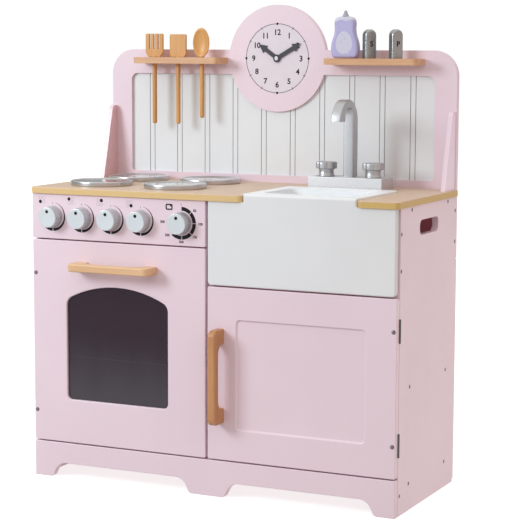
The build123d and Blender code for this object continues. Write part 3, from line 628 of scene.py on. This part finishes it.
def slabGrid(outline, thick, edge, steps=5):
    # an outline in x and z carried through y, both rims rounded by a quarter arc
    a = np.linspace(0, quarterTurn, steps)
    draw = edge * (1 - np.sin(a))
    depth = edge * (1 - np.cos(a))
    draws = np.concatenate([draw, draw[::-1]])
    depths = np.concatenate([depth, thick - depth[::-1]]) - thick / 2
    rings = np.stack([inset(outline, d) for d in draws])
    y = np.broadcast_to(depths[:, None], rings.shape[:2])
    return np.stack([rings[..., 0], y, rings[..., 1]], axis=-1)


def moved(grid, place):
    return grid + np.asarray(place, float)


def turnedAboutZ(grid, degrees):
    c, s = math.cos(math.radians(degrees)), math.sin(math.radians(degrees))
    return grid @ np.array([[c, s, 0], [-s, c, 0], [0, 0, 1]])


def facingFront(grid):
    # lays a grid turned about z with its top towards the front
    return np.stack([grid[..., 0], -grid[..., 2], grid[..., 1]], axis=-1)


# control knobs: tapered, with a rounded rim, a faintly dished face and a dark pointer dot
knobSet = {"base": 21.0, "foot": (0.6, 0.5), "hole": 3.0, "face": 19.0, "tall": 21.0, "gap": 0.4, "rim": 1.3,
           "rimSteps": 7, "dish": 0.25, "faceRings": (0.94, 0.03, 9), "sides": 128, "dot": 3.15,
           "dotUp": 10.8, "dotSunk": 0.6, "dotProud": 0.08, "dotEdge": (0.15, 0.02), "dotHole": 0.3,
           "dotSides": 40}


def makeKnob(name, s):
    centre = middle(name)
    centre[1] = low("control_fascia")[1]
    # profile: the foot, a quarter arc over the rim, then a face that sinks with the square of the radius
    rimIn = s["face"] - s["rim"]
    rim = arc(rimIn, s["tall"] - s["rim"], s["rim"], 0, quarterTurn, s["rimSteps"])
    inner = np.linspace(*s["faceRings"]) * rimIn
    face = np.stack([inner, s["tall"] - s["dish"] * (1 - (inner / rimIn) ** 2)], 1)
    footIn, footUp = s["foot"]
    foot = [(s["hole"], 0.0), (s["base"] - footIn, 0.0), (s["base"], footUp)]
    profile = np.concatenate([foot, rim, face]) * mm
    profile[:, 1] += s["gap"] * mm
    body = closedPart(moved(facingFront(turnedGrid(profile, s["sides"])), centre))
    makePiece(name + "_turned", [body], "silver", name, [name])
    top = s["gap"] + s["tall"]
    proud = top + s["dotProud"]
    r = s["dot"]
    edgeIn, edgeDown = s["dotEdge"]
    dot = [(r, top - s["dotSunk"]), (r, top - edgeDown), (r - edgeIn, proud), (s["dotHole"], proud)]
    dotPlace = centre + np.array([0, 0, s["dotUp"] * mm])
    dotGrid = moved(facingFront(turnedGrid(np.array(dot) * mm, s["dotSides"])), dotPlace)
    makePiece(name + "_dot", [closedPart(dotGrid)], "ink", name)


for knobName in knobNames:
    makeKnob(knobName, knobSet)
print("knobs turned:", len(knobNames))

# hob plates: a narrow raised rim round a flat plate with a shallow middle step
# the rim is given by points, in from the edge and up from the foot
hobSet = {"radius": 59.0, "hole": 2.0,
          "rim": [(1.2, 0.0), (0.2, 1.3), (0.0, 4.4), (0.25, 7.5), (0.9, 9.0), (1.9, 9.5), (3.2, 9.2),
                  (4.3, 8.2), (5.6, 7.9)],
          "middle": 0.25, "middleTo": 0.55, "rings": (0.72, 0.56, 0.54, 0.3, 0.12, 0.02), "sides": 128}


def makeHob(name, s):
    # profile: a curve over the rim, then the plate in rings at shares of the radius
    r, plate = s["radius"], s["rim"][-1][1]
    outer = curveThrough([(r - inwards, up) for inwards, up in s["rim"]])
    flat = np.array([(r * ring, plate + s["middle"] * (ring < s["middleTo"])) for ring in s["rings"]])
    profile = np.concatenate([[(s["hole"], 0.0)], outer, flat]) * mm
    grid = turnedGrid(profile, s["sides"])
    radius = np.linalg.norm(grid[..., :2], axis=-1).ravel()
    disc = closedPart(moved(grid, standing(name, low(name)[2])))
    makePiece(name + "_plate", [disc], "hob", "cabinet", [name], sharp=50.0, radius=radius)


for hobName in hobNames:
    makeHob(hobName, hobSet)
print("hobs turned:", len(hobNames))

# tap: a bent spout of soft square section and two lobed knobs
spoutSet = {"wide": 19.5, "deep": 25.0, "bend": 30.0, "corner": 2.6, "lip": 2.5, "crown": 10.0,
            "bendSteps": 48, "postSteps": 12, "mouth": 4.5, "mouthDeep": 0.15, "mouthHole": 0.5,
            "mouthSides": 32}


def makeSpout(s):
    # a rounded rectangle carried up the post and over the bend to a level mouth, thinner at the crown
    lowCorner, highCorner = low("tap_spout"), high("tap_spout")
    tapTop = high("tap_base")[2]
    x = (lowCorner[0] + highCorner[0]) / 2
    bend = s["bend"] * mm
    postY = highCorner[1] - s["deep"] / 2 * mm
    bendY = postY - bend
    bendZ = highCorner[2] - bend - s["deep"] / 2 * mm
    lip, crown = s["lip"] * mm, s["crown"] * mm
    half = np.array([s["wide"] / 2, s["deep"] / 2])
    section = roundCorners([-half, (half[0], -half[1]), half, (-half[0], half[1])], s["corner"]) * mm
    inner, outer = bend - half[1] * mm, bend + half[1] * mm
    along = np.linspace(0, 1, s["bendSteps"])
    run = along * (2 * crown - lip + math.pi * inner)
    angle = np.clip((run - crown) / inner, 0, math.pi)
    down = np.maximum(0, run - crown - math.pi * inner)
    innerZ = bendZ + np.minimum(run, crown) + inner * np.sin(angle) - down
    innerPath = np.stack([bendY + inner * np.cos(angle), innerZ], axis=-1)[:, None]
    angle = along * (math.pi - math.asin(lip / outer))
    outerPath = np.stack([bendY + outer * np.cos(angle), bendZ + outer * np.sin(angle)], axis=-1)[:, None]
    share = (section[:, 1] / (half[1] * mm) + 1) / 2
    bendPart = innerPath + (outerPath - innerPath) * share[:, None]
    rise = np.linspace(tapTop, bendZ, s["postSteps"], endpoint=False)[:, None]
    postPart = np.stack(np.broadcast_arrays(postY + section[:, 1], rise), axis=-1)
    yz = np.concatenate([postPart, bendPart])
    grid = np.concatenate([np.broadcast_to(x + section[:, 0], yz.shape[:2])[..., None], yz], axis=-1)
    makePiece("tap_spout_bent", [closedPart(grid)], "tapSilver", "cabinet", ["tap_spout"])
    # painted shade: a dark disc of ink at the mouth stands in for the shade inside the opening
    hole, wide, deep = s["mouthHole"], s["mouth"], -s["mouthDeep"]
    mouth = turnedGrid(np.array([(hole, 0.0), (wide, 0.0), (wide, deep), (hole, deep)]) * mm, s["mouthSides"])
    mouth = moved(mouth, (x, bendY - bend, bendZ + lip))
    makePiece("tap_spout_mouth_shade", [closedPart(mouth)], "ink", "cabinet")


# the neck is given by points of radius and height
lobeSet = {"neck": [(3.0, 0.4), (15.4, 0.4), (15.4, 1.8), (14.5, 2.6), (13.9, 11.5), (14.5, 13.4),
                    (16.0, 14.0)],
           "cap": 19.8, "low": 14.0, "high": 27.0, "round": 2.2, "roundSteps": 6, "crown": 0.1,
           "topRings": (13.86, 5.94, 0.5), "lobes": 6, "scallop": 1.9, "scallopPower": 1.5,
           "scallopFrom": 16.24, "scallopOver": 3.0, "sides": 192}


def makeTapKnob(name, s):
    # a turned neck and cap, the cap drawn in by a soft scallop between its lobes
    r, steps = s["round"], s["roundSteps"]
    under = arc(s["cap"] - r, s["low"] + r, r, -quarterTurn, 0, steps)
    over = arc(s["cap"] - r, s["high"] - r, r, 0, quarterTurn, steps)
    top = [(ring, s["high"] + s["crown"]) for ring in s["topRings"]]
    grid = turnedGrid(np.concatenate([s["neck"], under, over, top]) * mm, s["sides"])
    angle = np.arange(s["sides"]) * turn / s["sides"]
    valley = np.maximum(0, np.cos(angle * s["lobes"])) ** s["scallopPower"] * s["scallop"] * mm
    size = np.linalg.norm(grid[..., :2], axis=-1)
    isCap = np.clip((size - s["scallopFrom"] * mm) / (s["scallopOver"] * mm), 0, 1)
    grid[..., :2] *= (1 - isCap * valley / np.maximum(size, mm))[..., None]
    lobed = closedPart(moved(grid, standing(name, high("tap_base")[2])))
    makePiece(name + "_lobed", [lobed], "tapKnobSilver", name, [name], sharp=50.0)


makeSpout(spoutSet)
for knobName in tapKnobNames:
    makeTapKnob(knobName, lobeSet)
print("tap made")

# utensils: flat heads with soft rims on round stems
utensilSet = {"stem": 4.5, "stemSides": 48, "tip": 0.6, "tipTall": 0.7, "tipSteps": 7, "into": 3.0,
              "shoulder": [(0.0, 4.0), (0.7, 1.5), (2.4, 0.3)], "thick": 5.0, "rim": 1.0, "stand": 0.3}


def stemPart(name, s):
    # a round bar from a domed tip up into the head, its shoulder given in from the side and down from the end
    end = low(name)[2]
    r, tip = s["stem"], s["tip"]
    a = np.linspace(0, quarterTurn, s["tipSteps"])
    dome = np.stack([tip + (r - tip) * np.sin(a), r * s["tipTall"] * (1 - np.cos(a))], 1) * mm
    top = (high("left_shelf")[2] - end) / mm + s["into"]
    shoulder = [(r - inwards, top - down) for inwards, down in s["shoulder"]]
    shaft = np.array([(r, top / 2), *shoulder, (tip, top)]) * mm
    grid = turnedGrid(np.concatenate([dome, shaft]), s["stemSides"])
    return closedPart(moved(grid, standing(name, end)))


def headPlace(name, s):
    return standing(name, high("left_shelf")[2] + s["stand"] * mm)


def slabHead(name, outline, s):
    grid = slabGrid(outline * mm, s["thick"] * mm, s["rim"] * mm)
    head = closedPart(moved(grid, headPlace(name, s)))
    parts = [head, stemPart(name, s)]
    makePiece(name + "_carved", parts, "utensilBeech", name, [name], sharp=50.0)


def slantedFoot(s):
    # the lower corners of a head, cut at a slant
    half, (across, up) = s["half"], s["cut"]
    return [(-half, up), (across - half, 0), (half - across, 0), (half, up)]


# fork: four tines over a head with a slanted foot
forkSet = {"half": 19.5, "tall": 46.2, "cut": (6.2, 9.2), "cutRound": 2.4, "topRound": 3.0, "tines": 9.8,
           "slot": 1.3, "slotFrom": 16.0, "slotRound": 1.2, "tipRound": 1.2, "steps": 7}


def forkOutline(s):
    # round the foot and up the right side, then down and up each slot on the way to the left
    half, tall, slot, slotFrom = (s[k] for k in ("half", "tall", "slot", "slotFrom"))
    points = slantedFoot(s) + [(half, tall)]
    radii = [s["cutRound"]] * 4 + [s["topRound"]]
    for x in (s["tines"], 0.0, -s["tines"]):
        points += [(x + slot, tall), (x + slot, slotFrom), (x - slot, slotFrom), (x - slot, tall)]
        radii += [s["tipRound"], s["slotRound"], s["slotRound"], s["tipRound"]]
    return roundCorners(points + [(-half, tall)], radii + [s["topRound"]], s["steps"])


# spatula: a square blade with a slanted foot
spatulaSet = {"half": 18.25, "tall": 45.0, "cut": (3.8, 6.0), "cutRound": 2.0, "topRound": 3.0}


def spatulaOutline(s):
    top = [(s["half"], s["tall"]), (-s["half"], s["tall"])]
    return roundCorners(slantedFoot(s) + top, [s["cutRound"]] * 4 + [s["topRound"]] * 2)


# spoon: an egg-shaped bowl, hollow in front and round behind
spoonSet = {"half": 18.0, "rise": 29.0, "thick": 11.0, "up": 28.5, "hollow": 5.2, "hollowTo": 0.86,
            "hollowPower": 0.8, "rimFrom": 0.93, "rimSlope": 9, "lip": 1.4, "backPower": 1.2,
            "backFull": 0.999, "sides": 96,
            "bowlRings": (0.02, 0.82, 16), "rimRings": (0.87, 0.92, 0.96, 0.985),
            "edgeRings": (1.0, 0.998, 0.99), "backRings": (0.96, 0.02, 18)}


def makeSpoon(s, stem):
    # rings from the hollow of the bowl over the rim to the round back
    front = np.concatenate([np.linspace(*s["bowlRings"]), s["rimRings"]])
    hollow = s["hollow"] * np.maximum(1 - (front / s["hollowTo"]) ** 2, 0.0) ** s["hollowPower"]
    rimLift = np.maximum(0, front - s["rimFrom"]) * s["rimSlope"]
    back = np.concatenate([s["edgeRings"], np.linspace(*s["backRings"])])
    bulge = np.sqrt(1 - (back * s["backFull"]) ** 2) ** s["backPower"]
    frontY = -s["thick"] / 2
    y = np.concatenate([frontY + hollow + rimLift, frontY + s["lip"] + (s["thick"] - s["lip"]) * bulge])
    ring = np.concatenate([front, back])[:, None]
    angle = np.arange(s["sides"]) * turn / s["sides"]
    x = ring * s["half"] * np.cos(angle)
    z = np.maximum(s["up"] + ring * s["rise"] * np.sin(angle), 0.0)
    grid = np.stack([x, np.broadcast_to(y[:, None], x.shape), z], axis=-1) * mm
    parts = [closedPart(moved(grid, headPlace("spoon", stem))), stemPart("spoon", stem)]
    makePiece("spoon_carved", parts, "utensilBeech", "spoon", ["spoon"], sharp=60.0)


slabHead("fork", forkOutline(forkSet), utensilSet)
slabHead("spatula", spatulaOutline(spatulaSet), utensilSet)
makeSpoon(spoonSet, utensilSet)
print("utensils carved")

# bottle: a waisted slab with well rounded rims and a turned nozzle
bottleShape = {"sides": [(20, 0), (25.5, 4), (27.8, 14), (27.8, 22), (26, 32), (21.8, 44), (20.4, 55),
                         (21, 66), (18, 74.5), (10, 78)],
               "thick": 16.0, "rim": 5.0, "rimSteps": 8,
               "nozzle": [(6.5, -4.0), (6.5, 0.3), (5.59, 2.4), (3.25, 7.2), (2.5, 10.0), (1.9, 10.9),
                          (0.4, 11.0)],
               "nozzleHole": 0.4, "nozzleSides": 48}


def makeBottle(s):
    # a curve up the right side and its mirror image make the slab, a curve of radius and height the nozzle
    right = curveThrough(s["sides"])
    outline = np.concatenate([right, right[::-1] * np.array([-1, 1])])
    place = standing("bottle", low("bottle")[2])
    slab = slabGrid(outline * mm, s["thick"] * mm, s["rim"] * mm, s["rimSteps"])
    slab = closedPart(moved(slab, place))
    makePiece("bottle_body", [slab], "bottle", "bottle", ["bottle"], sharp=60.0)
    foot = (s["nozzleHole"], s["nozzle"][0][1])
    profile = np.concatenate([[foot], curveThrough(s["nozzle"])]) * mm
    top = place + np.array([0, 0, s["sides"][-1][1] * mm])
    nozzle = closedPart(moved(turnedGrid(profile, s["nozzleSides"]), top))
    makePiece("bottle_nozzle", [nozzle], "nozzle", "bottle")


def letterPart(text, size, thick, bold):
    # a text curve, its strokes made bolder, turned into a mesh in x and z with its face towards the front
    curve = bpy.data.curves.new("letter", "FONT")
    curve.body = text
    curve.size = size
    curve.align_x = "CENTER"
    curve.align_y = "CENTER"
    curve.extrude = thick / 2
    curve.offset = bold
    curve.resolution_u = 4
    holder = bpy.data.objects.new("letter", curve)
    bpy.context.scene.collection.objects.link(holder)
    bpy.context.view_layer.update()
    mesh = bpy.data.meshes.new_from_object(holder.evaluated_get(bpy.context.evaluated_depsgraph_get()))
    flat = np.empty(len(mesh.vertices) * 3)
    mesh.vertices.foreach_get("co", flat)
    faces = [list(face.vertices) for face in mesh.polygons]
    bpy.data.objects.remove(holder)
    bpy.data.curves.remove(curve)
    bpy.data.meshes.remove(mesh)
    x, y, z = flat.reshape(-1, 3).T
    y = y - (y.max() + y.min()) / 2
    return np.stack([x, -z - thick / 2, y], axis=-1), faces


# shakers: round-topped blocks turned to the right, each with its letter
printThick = 0.12 * mm
shakerSet = {"half": 11.5, "tall": 42.6, "thick": 17.4, "rim": 4.2, "rimSteps": 16, "under": 1.0,
             "domeSteps": 25, "turned": 52.0, "letterUp": 27.0, "letter": 14.0, "bold": 0.45}


def makeShaker(name, letter, s):
    # the outline starts below the shelf and is cut off level there, so that only the sides and top are round
    dome = arc(0.0, s["tall"], s["half"], 0, math.pi, s["domeSteps"])
    below = -s["rim"] - s["under"]
    outline = np.concatenate([[(-s["half"], below), (s["half"], below)], dome])
    place = standing(name, low(name)[2])
    slab = slabGrid(outline * mm, s["thick"] * mm, s["rim"] * mm, s["rimSteps"])
    slab = turnedAboutZ(slab, s["turned"])
    slab[..., 2] = np.maximum(slab[..., 2], 0.0)
    block = closedPart(moved(slab, place))
    makePiece(name + "_block", [block], "shakerSilver", name, [name], sharp=50.0)
    points, faces = letterPart(letter, s["letter"] * mm, printThick, s["bold"] * mm)
    points = points + np.array([0, -s["thick"] / 2 * mm, s["letterUp"] * mm])
    points = moved(turnedAboutZ(points, s["turned"]), place)
    makePiece(name + "_letter", [(points, faces)], "ink", name)


makeBottle(bottleShape)
makeShaker("salt_shaker", "S", shakerSet)
makeShaker("pepper_shaker", "P", shakerSet)
print("shelf goods made")


# prints: thin raised ink on the fascia and the clock
def bandPart(start, end, inner, outer, centre, front, closed, count):
    # a flat band of ink between two radii, which may differ from step to step, angles clockwise from the top
    along = np.linspace(0, 1, count, endpoint=not closed)
    angle = np.radians(start + (end - start) * along)
    inner, outer = (np.broadcast_to(radius, count) for radius in (inner, outer))
    r = np.stack([inner, inner, outer, outer], 1) * mm
    y = np.array([0, -1, -1, 0]) * printThick + front
    x = centre[0] + r * np.sin(angle)[:, None]
    z = centre[1] + r * np.cos(angle)[:, None]
    return closedPart(np.stack([x, np.broadcast_to(y, x.shape), z], axis=-1), closed)


def discPart(radius, centre, front, thick=printThick, count=40, hub=0.1):
    # a flat disc of ink: its edge and face swept round, as far in as a small hub
    profile = np.array([(radius * mm, 0.0), (radius * mm, thick), (radius * mm * hub, thick)])
    grid = facingFront(turnedGrid(profile, count))
    return closedPart(moved(grid, (centre[0], front, centre[1])))


def barPart(size, centre, front):
    # a flat upright rectangle of ink, given by half its width and half its height
    half, tall = size
    corner = np.array([(-half, -tall), (half, -tall), (half, tall), (-half, tall)]) * mm
    level = np.array([0, -printThick])[:, None] + front
    x = np.broadcast_to(corner[:, 0] + centre[0], (2, 4))
    z = np.broadcast_to(corner[:, 1] + centre[1], (2, 4))
    return closedPart(np.stack([x, np.broadcast_to(level, x.shape), z], axis=-1))


def textPart(text, size, bold, centre, front):
    # flat letters of ink, centred on a spot
    points, faces = letterPart(text, size * mm, printThick, bold * mm)
    return points + np.array([centre[0], front, centre[1]]), faces


def knobCentre(name):
    spot = middle(name)
    return np.array([spot[0], spot[2]])


# hob dials: a swelling crescent of ink, a tick at the top and a plan of the four hobs
hobDial = {"outer": 27.2, "thin": 0.25, "thick": 5.2, "from": 12.0, "to": 224.0, "gapAt": 178.0, "gap": 4.0,
           "steps": 48, "tick": (0.35, 1.6), "tickAt": 25.4, "planAt": (-23.5, 31.0), "planPitch": 7.2,
           "planDot": 3.25, "planRing": (0.5, 0.1), "planSides": 32}
# where the hob of each knob lies on the plan
hobOrder = [(-1, -1), (-1, 1), (1, 1), (1, -1)]


def makeHobDial(number, s):
    name = "hob_knob_" + str(number)
    centre = knobCentre(name)
    front = low("control_fascia")[1]
    outer, gapEnd = s["outer"], s["gapAt"] + s["gap"]
    # the crescent swells as far as the gap and then keeps its width
    swelling = outer - s["thin"] - s["thick"] * np.linspace(0, 1, s["steps"])
    upper = bandPart(s["from"], s["gapAt"], swelling, outer, centre, front, False, s["steps"])
    lower = bandPart(gapEnd, s["to"], swelling[-1], outer, centre, front, False, s["steps"])
    tick = barPart(s["tick"], centre + np.array([0, s["tickAt"]]) * mm, front)
    plan = centre + np.array(s["planAt"]) * mm
    spots = [plan + np.array(spot) * s["planPitch"] / 2 * mm for spot in hobOrder]
    mine = discPart(s["planDot"], spots[number - 1], front)
    ring = [s["planDot"] - edge for edge in s["planRing"]]
    others = [bandPart(0, 360, *ring, spot, front, True, s["planSides"])
              for place, spot in enumerate(spots, 1) if place != number]
    makePiece(name + "_dial", [upper, lower, tick, mine], "ink", "cabinet")
    makePiece(name + "_plan", others, "faintInk", "cabinet")


# oven dial: five blocks of a ring, numbers outside them and a small oven outline
ovenDial = {"inner": 23.0, "outer": 30.0, "blocks": 5, "block": 44.5, "gap": 2.4,
            "numbers": {"50": 45, "100": 90, "150": 135, "200": 180, "250": 228, "300": 272},
            "numberRadius": (39.0, 34.0), "numberSize": 6.4, "bold": 0.22, "zero": (0.4, 1.7), "zeroAt": 34.0,
            "iconAt": (-25.0, 28.8), "icon": (14.4, 11.2), "iconRound": 2.6, "iconEdge": 2.5, "lamp": 1.3,
            "lampIn": (4.0, 3.6), "blockSteps": 16, "iconSteps": 6}


def makeOvenDial(s):
    # blocks at equal angles, numbers on an ellipse, and a border between an outline and its inset
    centre = knobCentre("oven_knob")
    front = low("control_fascia")[1]
    edges = [(s["block"] * i + s["gap"] / 2, s["block"] * (i + 1) - s["gap"] / 2) for i in range(s["blocks"])]
    blocks = [bandPart(*edge, s["inner"], s["outer"], centre, front, False, s["blockSteps"])
              for edge in edges]
    numbers = []
    for text, degrees in s["numbers"].items():
        a = math.radians(degrees)
        spot = centre + np.array([math.sin(a), math.cos(a)]) * np.array(s["numberRadius"]) * mm
        numbers.append(textPart(text, s["numberSize"], s["bold"], spot, front))
    zero = barPart(s["zero"], centre + np.array([0, s["zeroAt"]]) * mm, front)
    icon = centre + np.array(s["iconAt"]) * mm
    half = np.array(s["icon"]) / 2
    corners = np.array([(-1, -1), (1, -1), (1, 1), (-1, 1)]) * half
    outline = roundCorners(corners, s["iconRound"], s["iconSteps"])
    inner = inset(outline, s["iconEdge"])
    loops = np.stack([outline, outline, inner, inner], 1) * mm + icon
    y = np.broadcast_to(np.array([0, -1, -1, 0]) * printThick + front, loops.shape[:2])
    border = closedPart(np.stack([loops[..., 0], y, loops[..., 1]], axis=-1), True)
    lamp = discPart(s["lamp"], icon + (half - np.array(s["lampIn"])) * mm, front)
    makePiece("oven_knob_dial", blocks + numbers + [zero, border, lamp], "ink", "cabinet")


# clock: a paler face, a thin ring with dots at the quarters and ticks at the other hours, plain numbers
clockSet = {"face": 66.0, "faceThick": 0.05, "faceSides": 160, "ring": 67.0, "ringWide": 1.0,
            "ringSides": 180, "number": 15.0, "numberAt": 50.5, "bold": 0.38, "dot": 2.4,
            "tick": (3.6, 1.6), "tickTurn": 0.45, "tickSteps": 4, "lift": 0.02}


def makeClock(s):
    # each hour lies 30 degrees further round
    centre = np.array([0.0, middle("clock_pivot")[2]])
    board = low("splashback_frame")[1]
    faceThick = s["faceThick"] * mm
    raised = board - s["lift"] * mm
    face = discPart(s["face"], centre, board, faceThick, s["faceSides"])
    makePiece("clock_face", [face], "clockFace", "cabinet")
    parts = [bandPart(0, 360, s["ring"] - s["ringWide"], s["ring"], centre, board, True, s["ringSides"])]
    tickIn, tickOut = s["ring"] - s["tick"][0], s["ring"] + s["tick"][1]
    for hour in range(1, 13):
        degrees = hour * 30
        angle = np.radians(degrees)
        out = np.array([np.sin(angle), np.cos(angle)])
        numberAt = centre + out * s["numberAt"] * mm
        parts.append(textPart(str(hour), s["number"], s["bold"], numberAt, board - faceThick))
        if hour % 3 == 0:
            parts.append(discPart(s["dot"], centre + out * (s["ring"] - s["ringWide"] / 2) * mm, raised))
        else:
            start, end = degrees - s["tickTurn"], degrees + s["tickTurn"]
            parts.append(bandPart(start, end, tickIn, tickOut, centre, raised, False, s["tickSteps"]))
    makePiece("clock_print", parts, "ink", "cabinet")


for hobNumber in range(1, 5):
    makeHobDial(hobNumber, hobDial)
makeOvenDial(ovenDial)
makeClock(clockSet)
print("prints laid")

# plain pale floor that glows a little, like lit paper
floorSet = {"half": 9.0, "rows": 4, "tint": (0.5, 0.5, 0.5), "fibre": 90.0, "shades": (0.995, 1.0),
            "gloss": 0.85, "glow": 1.4}


def floorPaper(name, s):
    material, t = newFinish(name)
    colour = t.shades(t.noise(t.place(), s["fibre"]), s["tint"], *s["shades"])
    t.surface({"Base Color": colour, "Roughness": s["gloss"], "Emission Color": colour,
               "Emission Strength": s["glow"]})
    return material


def makeFloor(s):
    # a level square of quads
    count = s["rows"]
    across = np.linspace(-s["half"], s["half"], count)
    x, y = np.meshgrid(across, across, indexing="ij")
    points = np.stack([x, y, np.zeros_like(x)], axis=-1).reshape(-1, 3)
    i, j = np.meshgrid(np.arange(count - 1), np.arange(count - 1), indexing="ij")
    corner = i * count + j
    quads = np.stack([corner, corner + count, corner + count + 1, corner + 1], axis=-1).reshape(-1, 4)
    mesh = bpy.data.meshes.new("floor")
    mesh.from_pydata(points.tolist(), [], quads.tolist())
    mesh.materials.append(floorPaper("floor_paper", s))
    floor = bpy.data.objects.new("floor", mesh)
    bpy.context.scene.collection.objects.link(floor)
    # the white paper throws no light back on the toy: the world below the horizon stands in for it
    floor.visible_diffuse = False


# a soft cool key from the front left and a studio world, brightest overhead and warmer to the right
lightSet = {"key": 38.0, "keySize": 0.9, "keyAt": (-1.65, -1.95, 1.5), "keyTo": (0, 0, 0.5),
            "keyTint": (0.895, 1.0, 1.066), "overhead": (1.12, 1.12, 1.06), "left": (0.33, 0.36, 0.38),
            "right": (0.62, 0.45, 0.42), "lowLeft": (0.30, 0.29, 0.28), "lowRight": (0.64, 0.55, 0.53),
            "sideSpan": (-0.6, 0.6), "upSpan": (0.0, 0.9)}


def makeLight(s):
    data = bpy.data.lights.new("key", "AREA")
    data.energy = s["key"]
    data.size = s["keySize"]
    data.color = s["keyTint"]
    key = bpy.data.objects.new("key", data)
    bpy.context.scene.collection.objects.link(key)
    key.location = s["keyAt"]
    key.rotation_euler = (Vector(s["keyTo"]) - key.location).to_track_quat("-Z", "Y").to_euler()
    world = bpy.data.worlds.new("studio")
    bpy.context.scene.world = world
    world.use_nodes = True
    t = Tree(world.node_tree)
    side, _, up = t.split(t.add("ShaderNodeTexCoord", output=0))
    across = t.step(side, *s["sideSpan"])
    upper = t.mix(t.step(up, *s["upSpan"]), t.mix(across, s["left"], s["right"]), s["overhead"])
    lower = t.mix(across, s["lowLeft"], s["lowRight"])
    # the camera sees plain white behind the toy
    seen = t.add("ShaderNodeLightPath")
    colour = t.mix(seen, t.mix(up > 0.0, lower, upper), (1, 1, 1))
    back = t.add("ShaderNodeBackground", None, {"Color": colour, "Strength": 1.0})
    t.add("ShaderNodeOutputWorld", None, {"Surface": back})


makeFloor(floorSet)
makeLight(lightSet)
print("light and floor set")
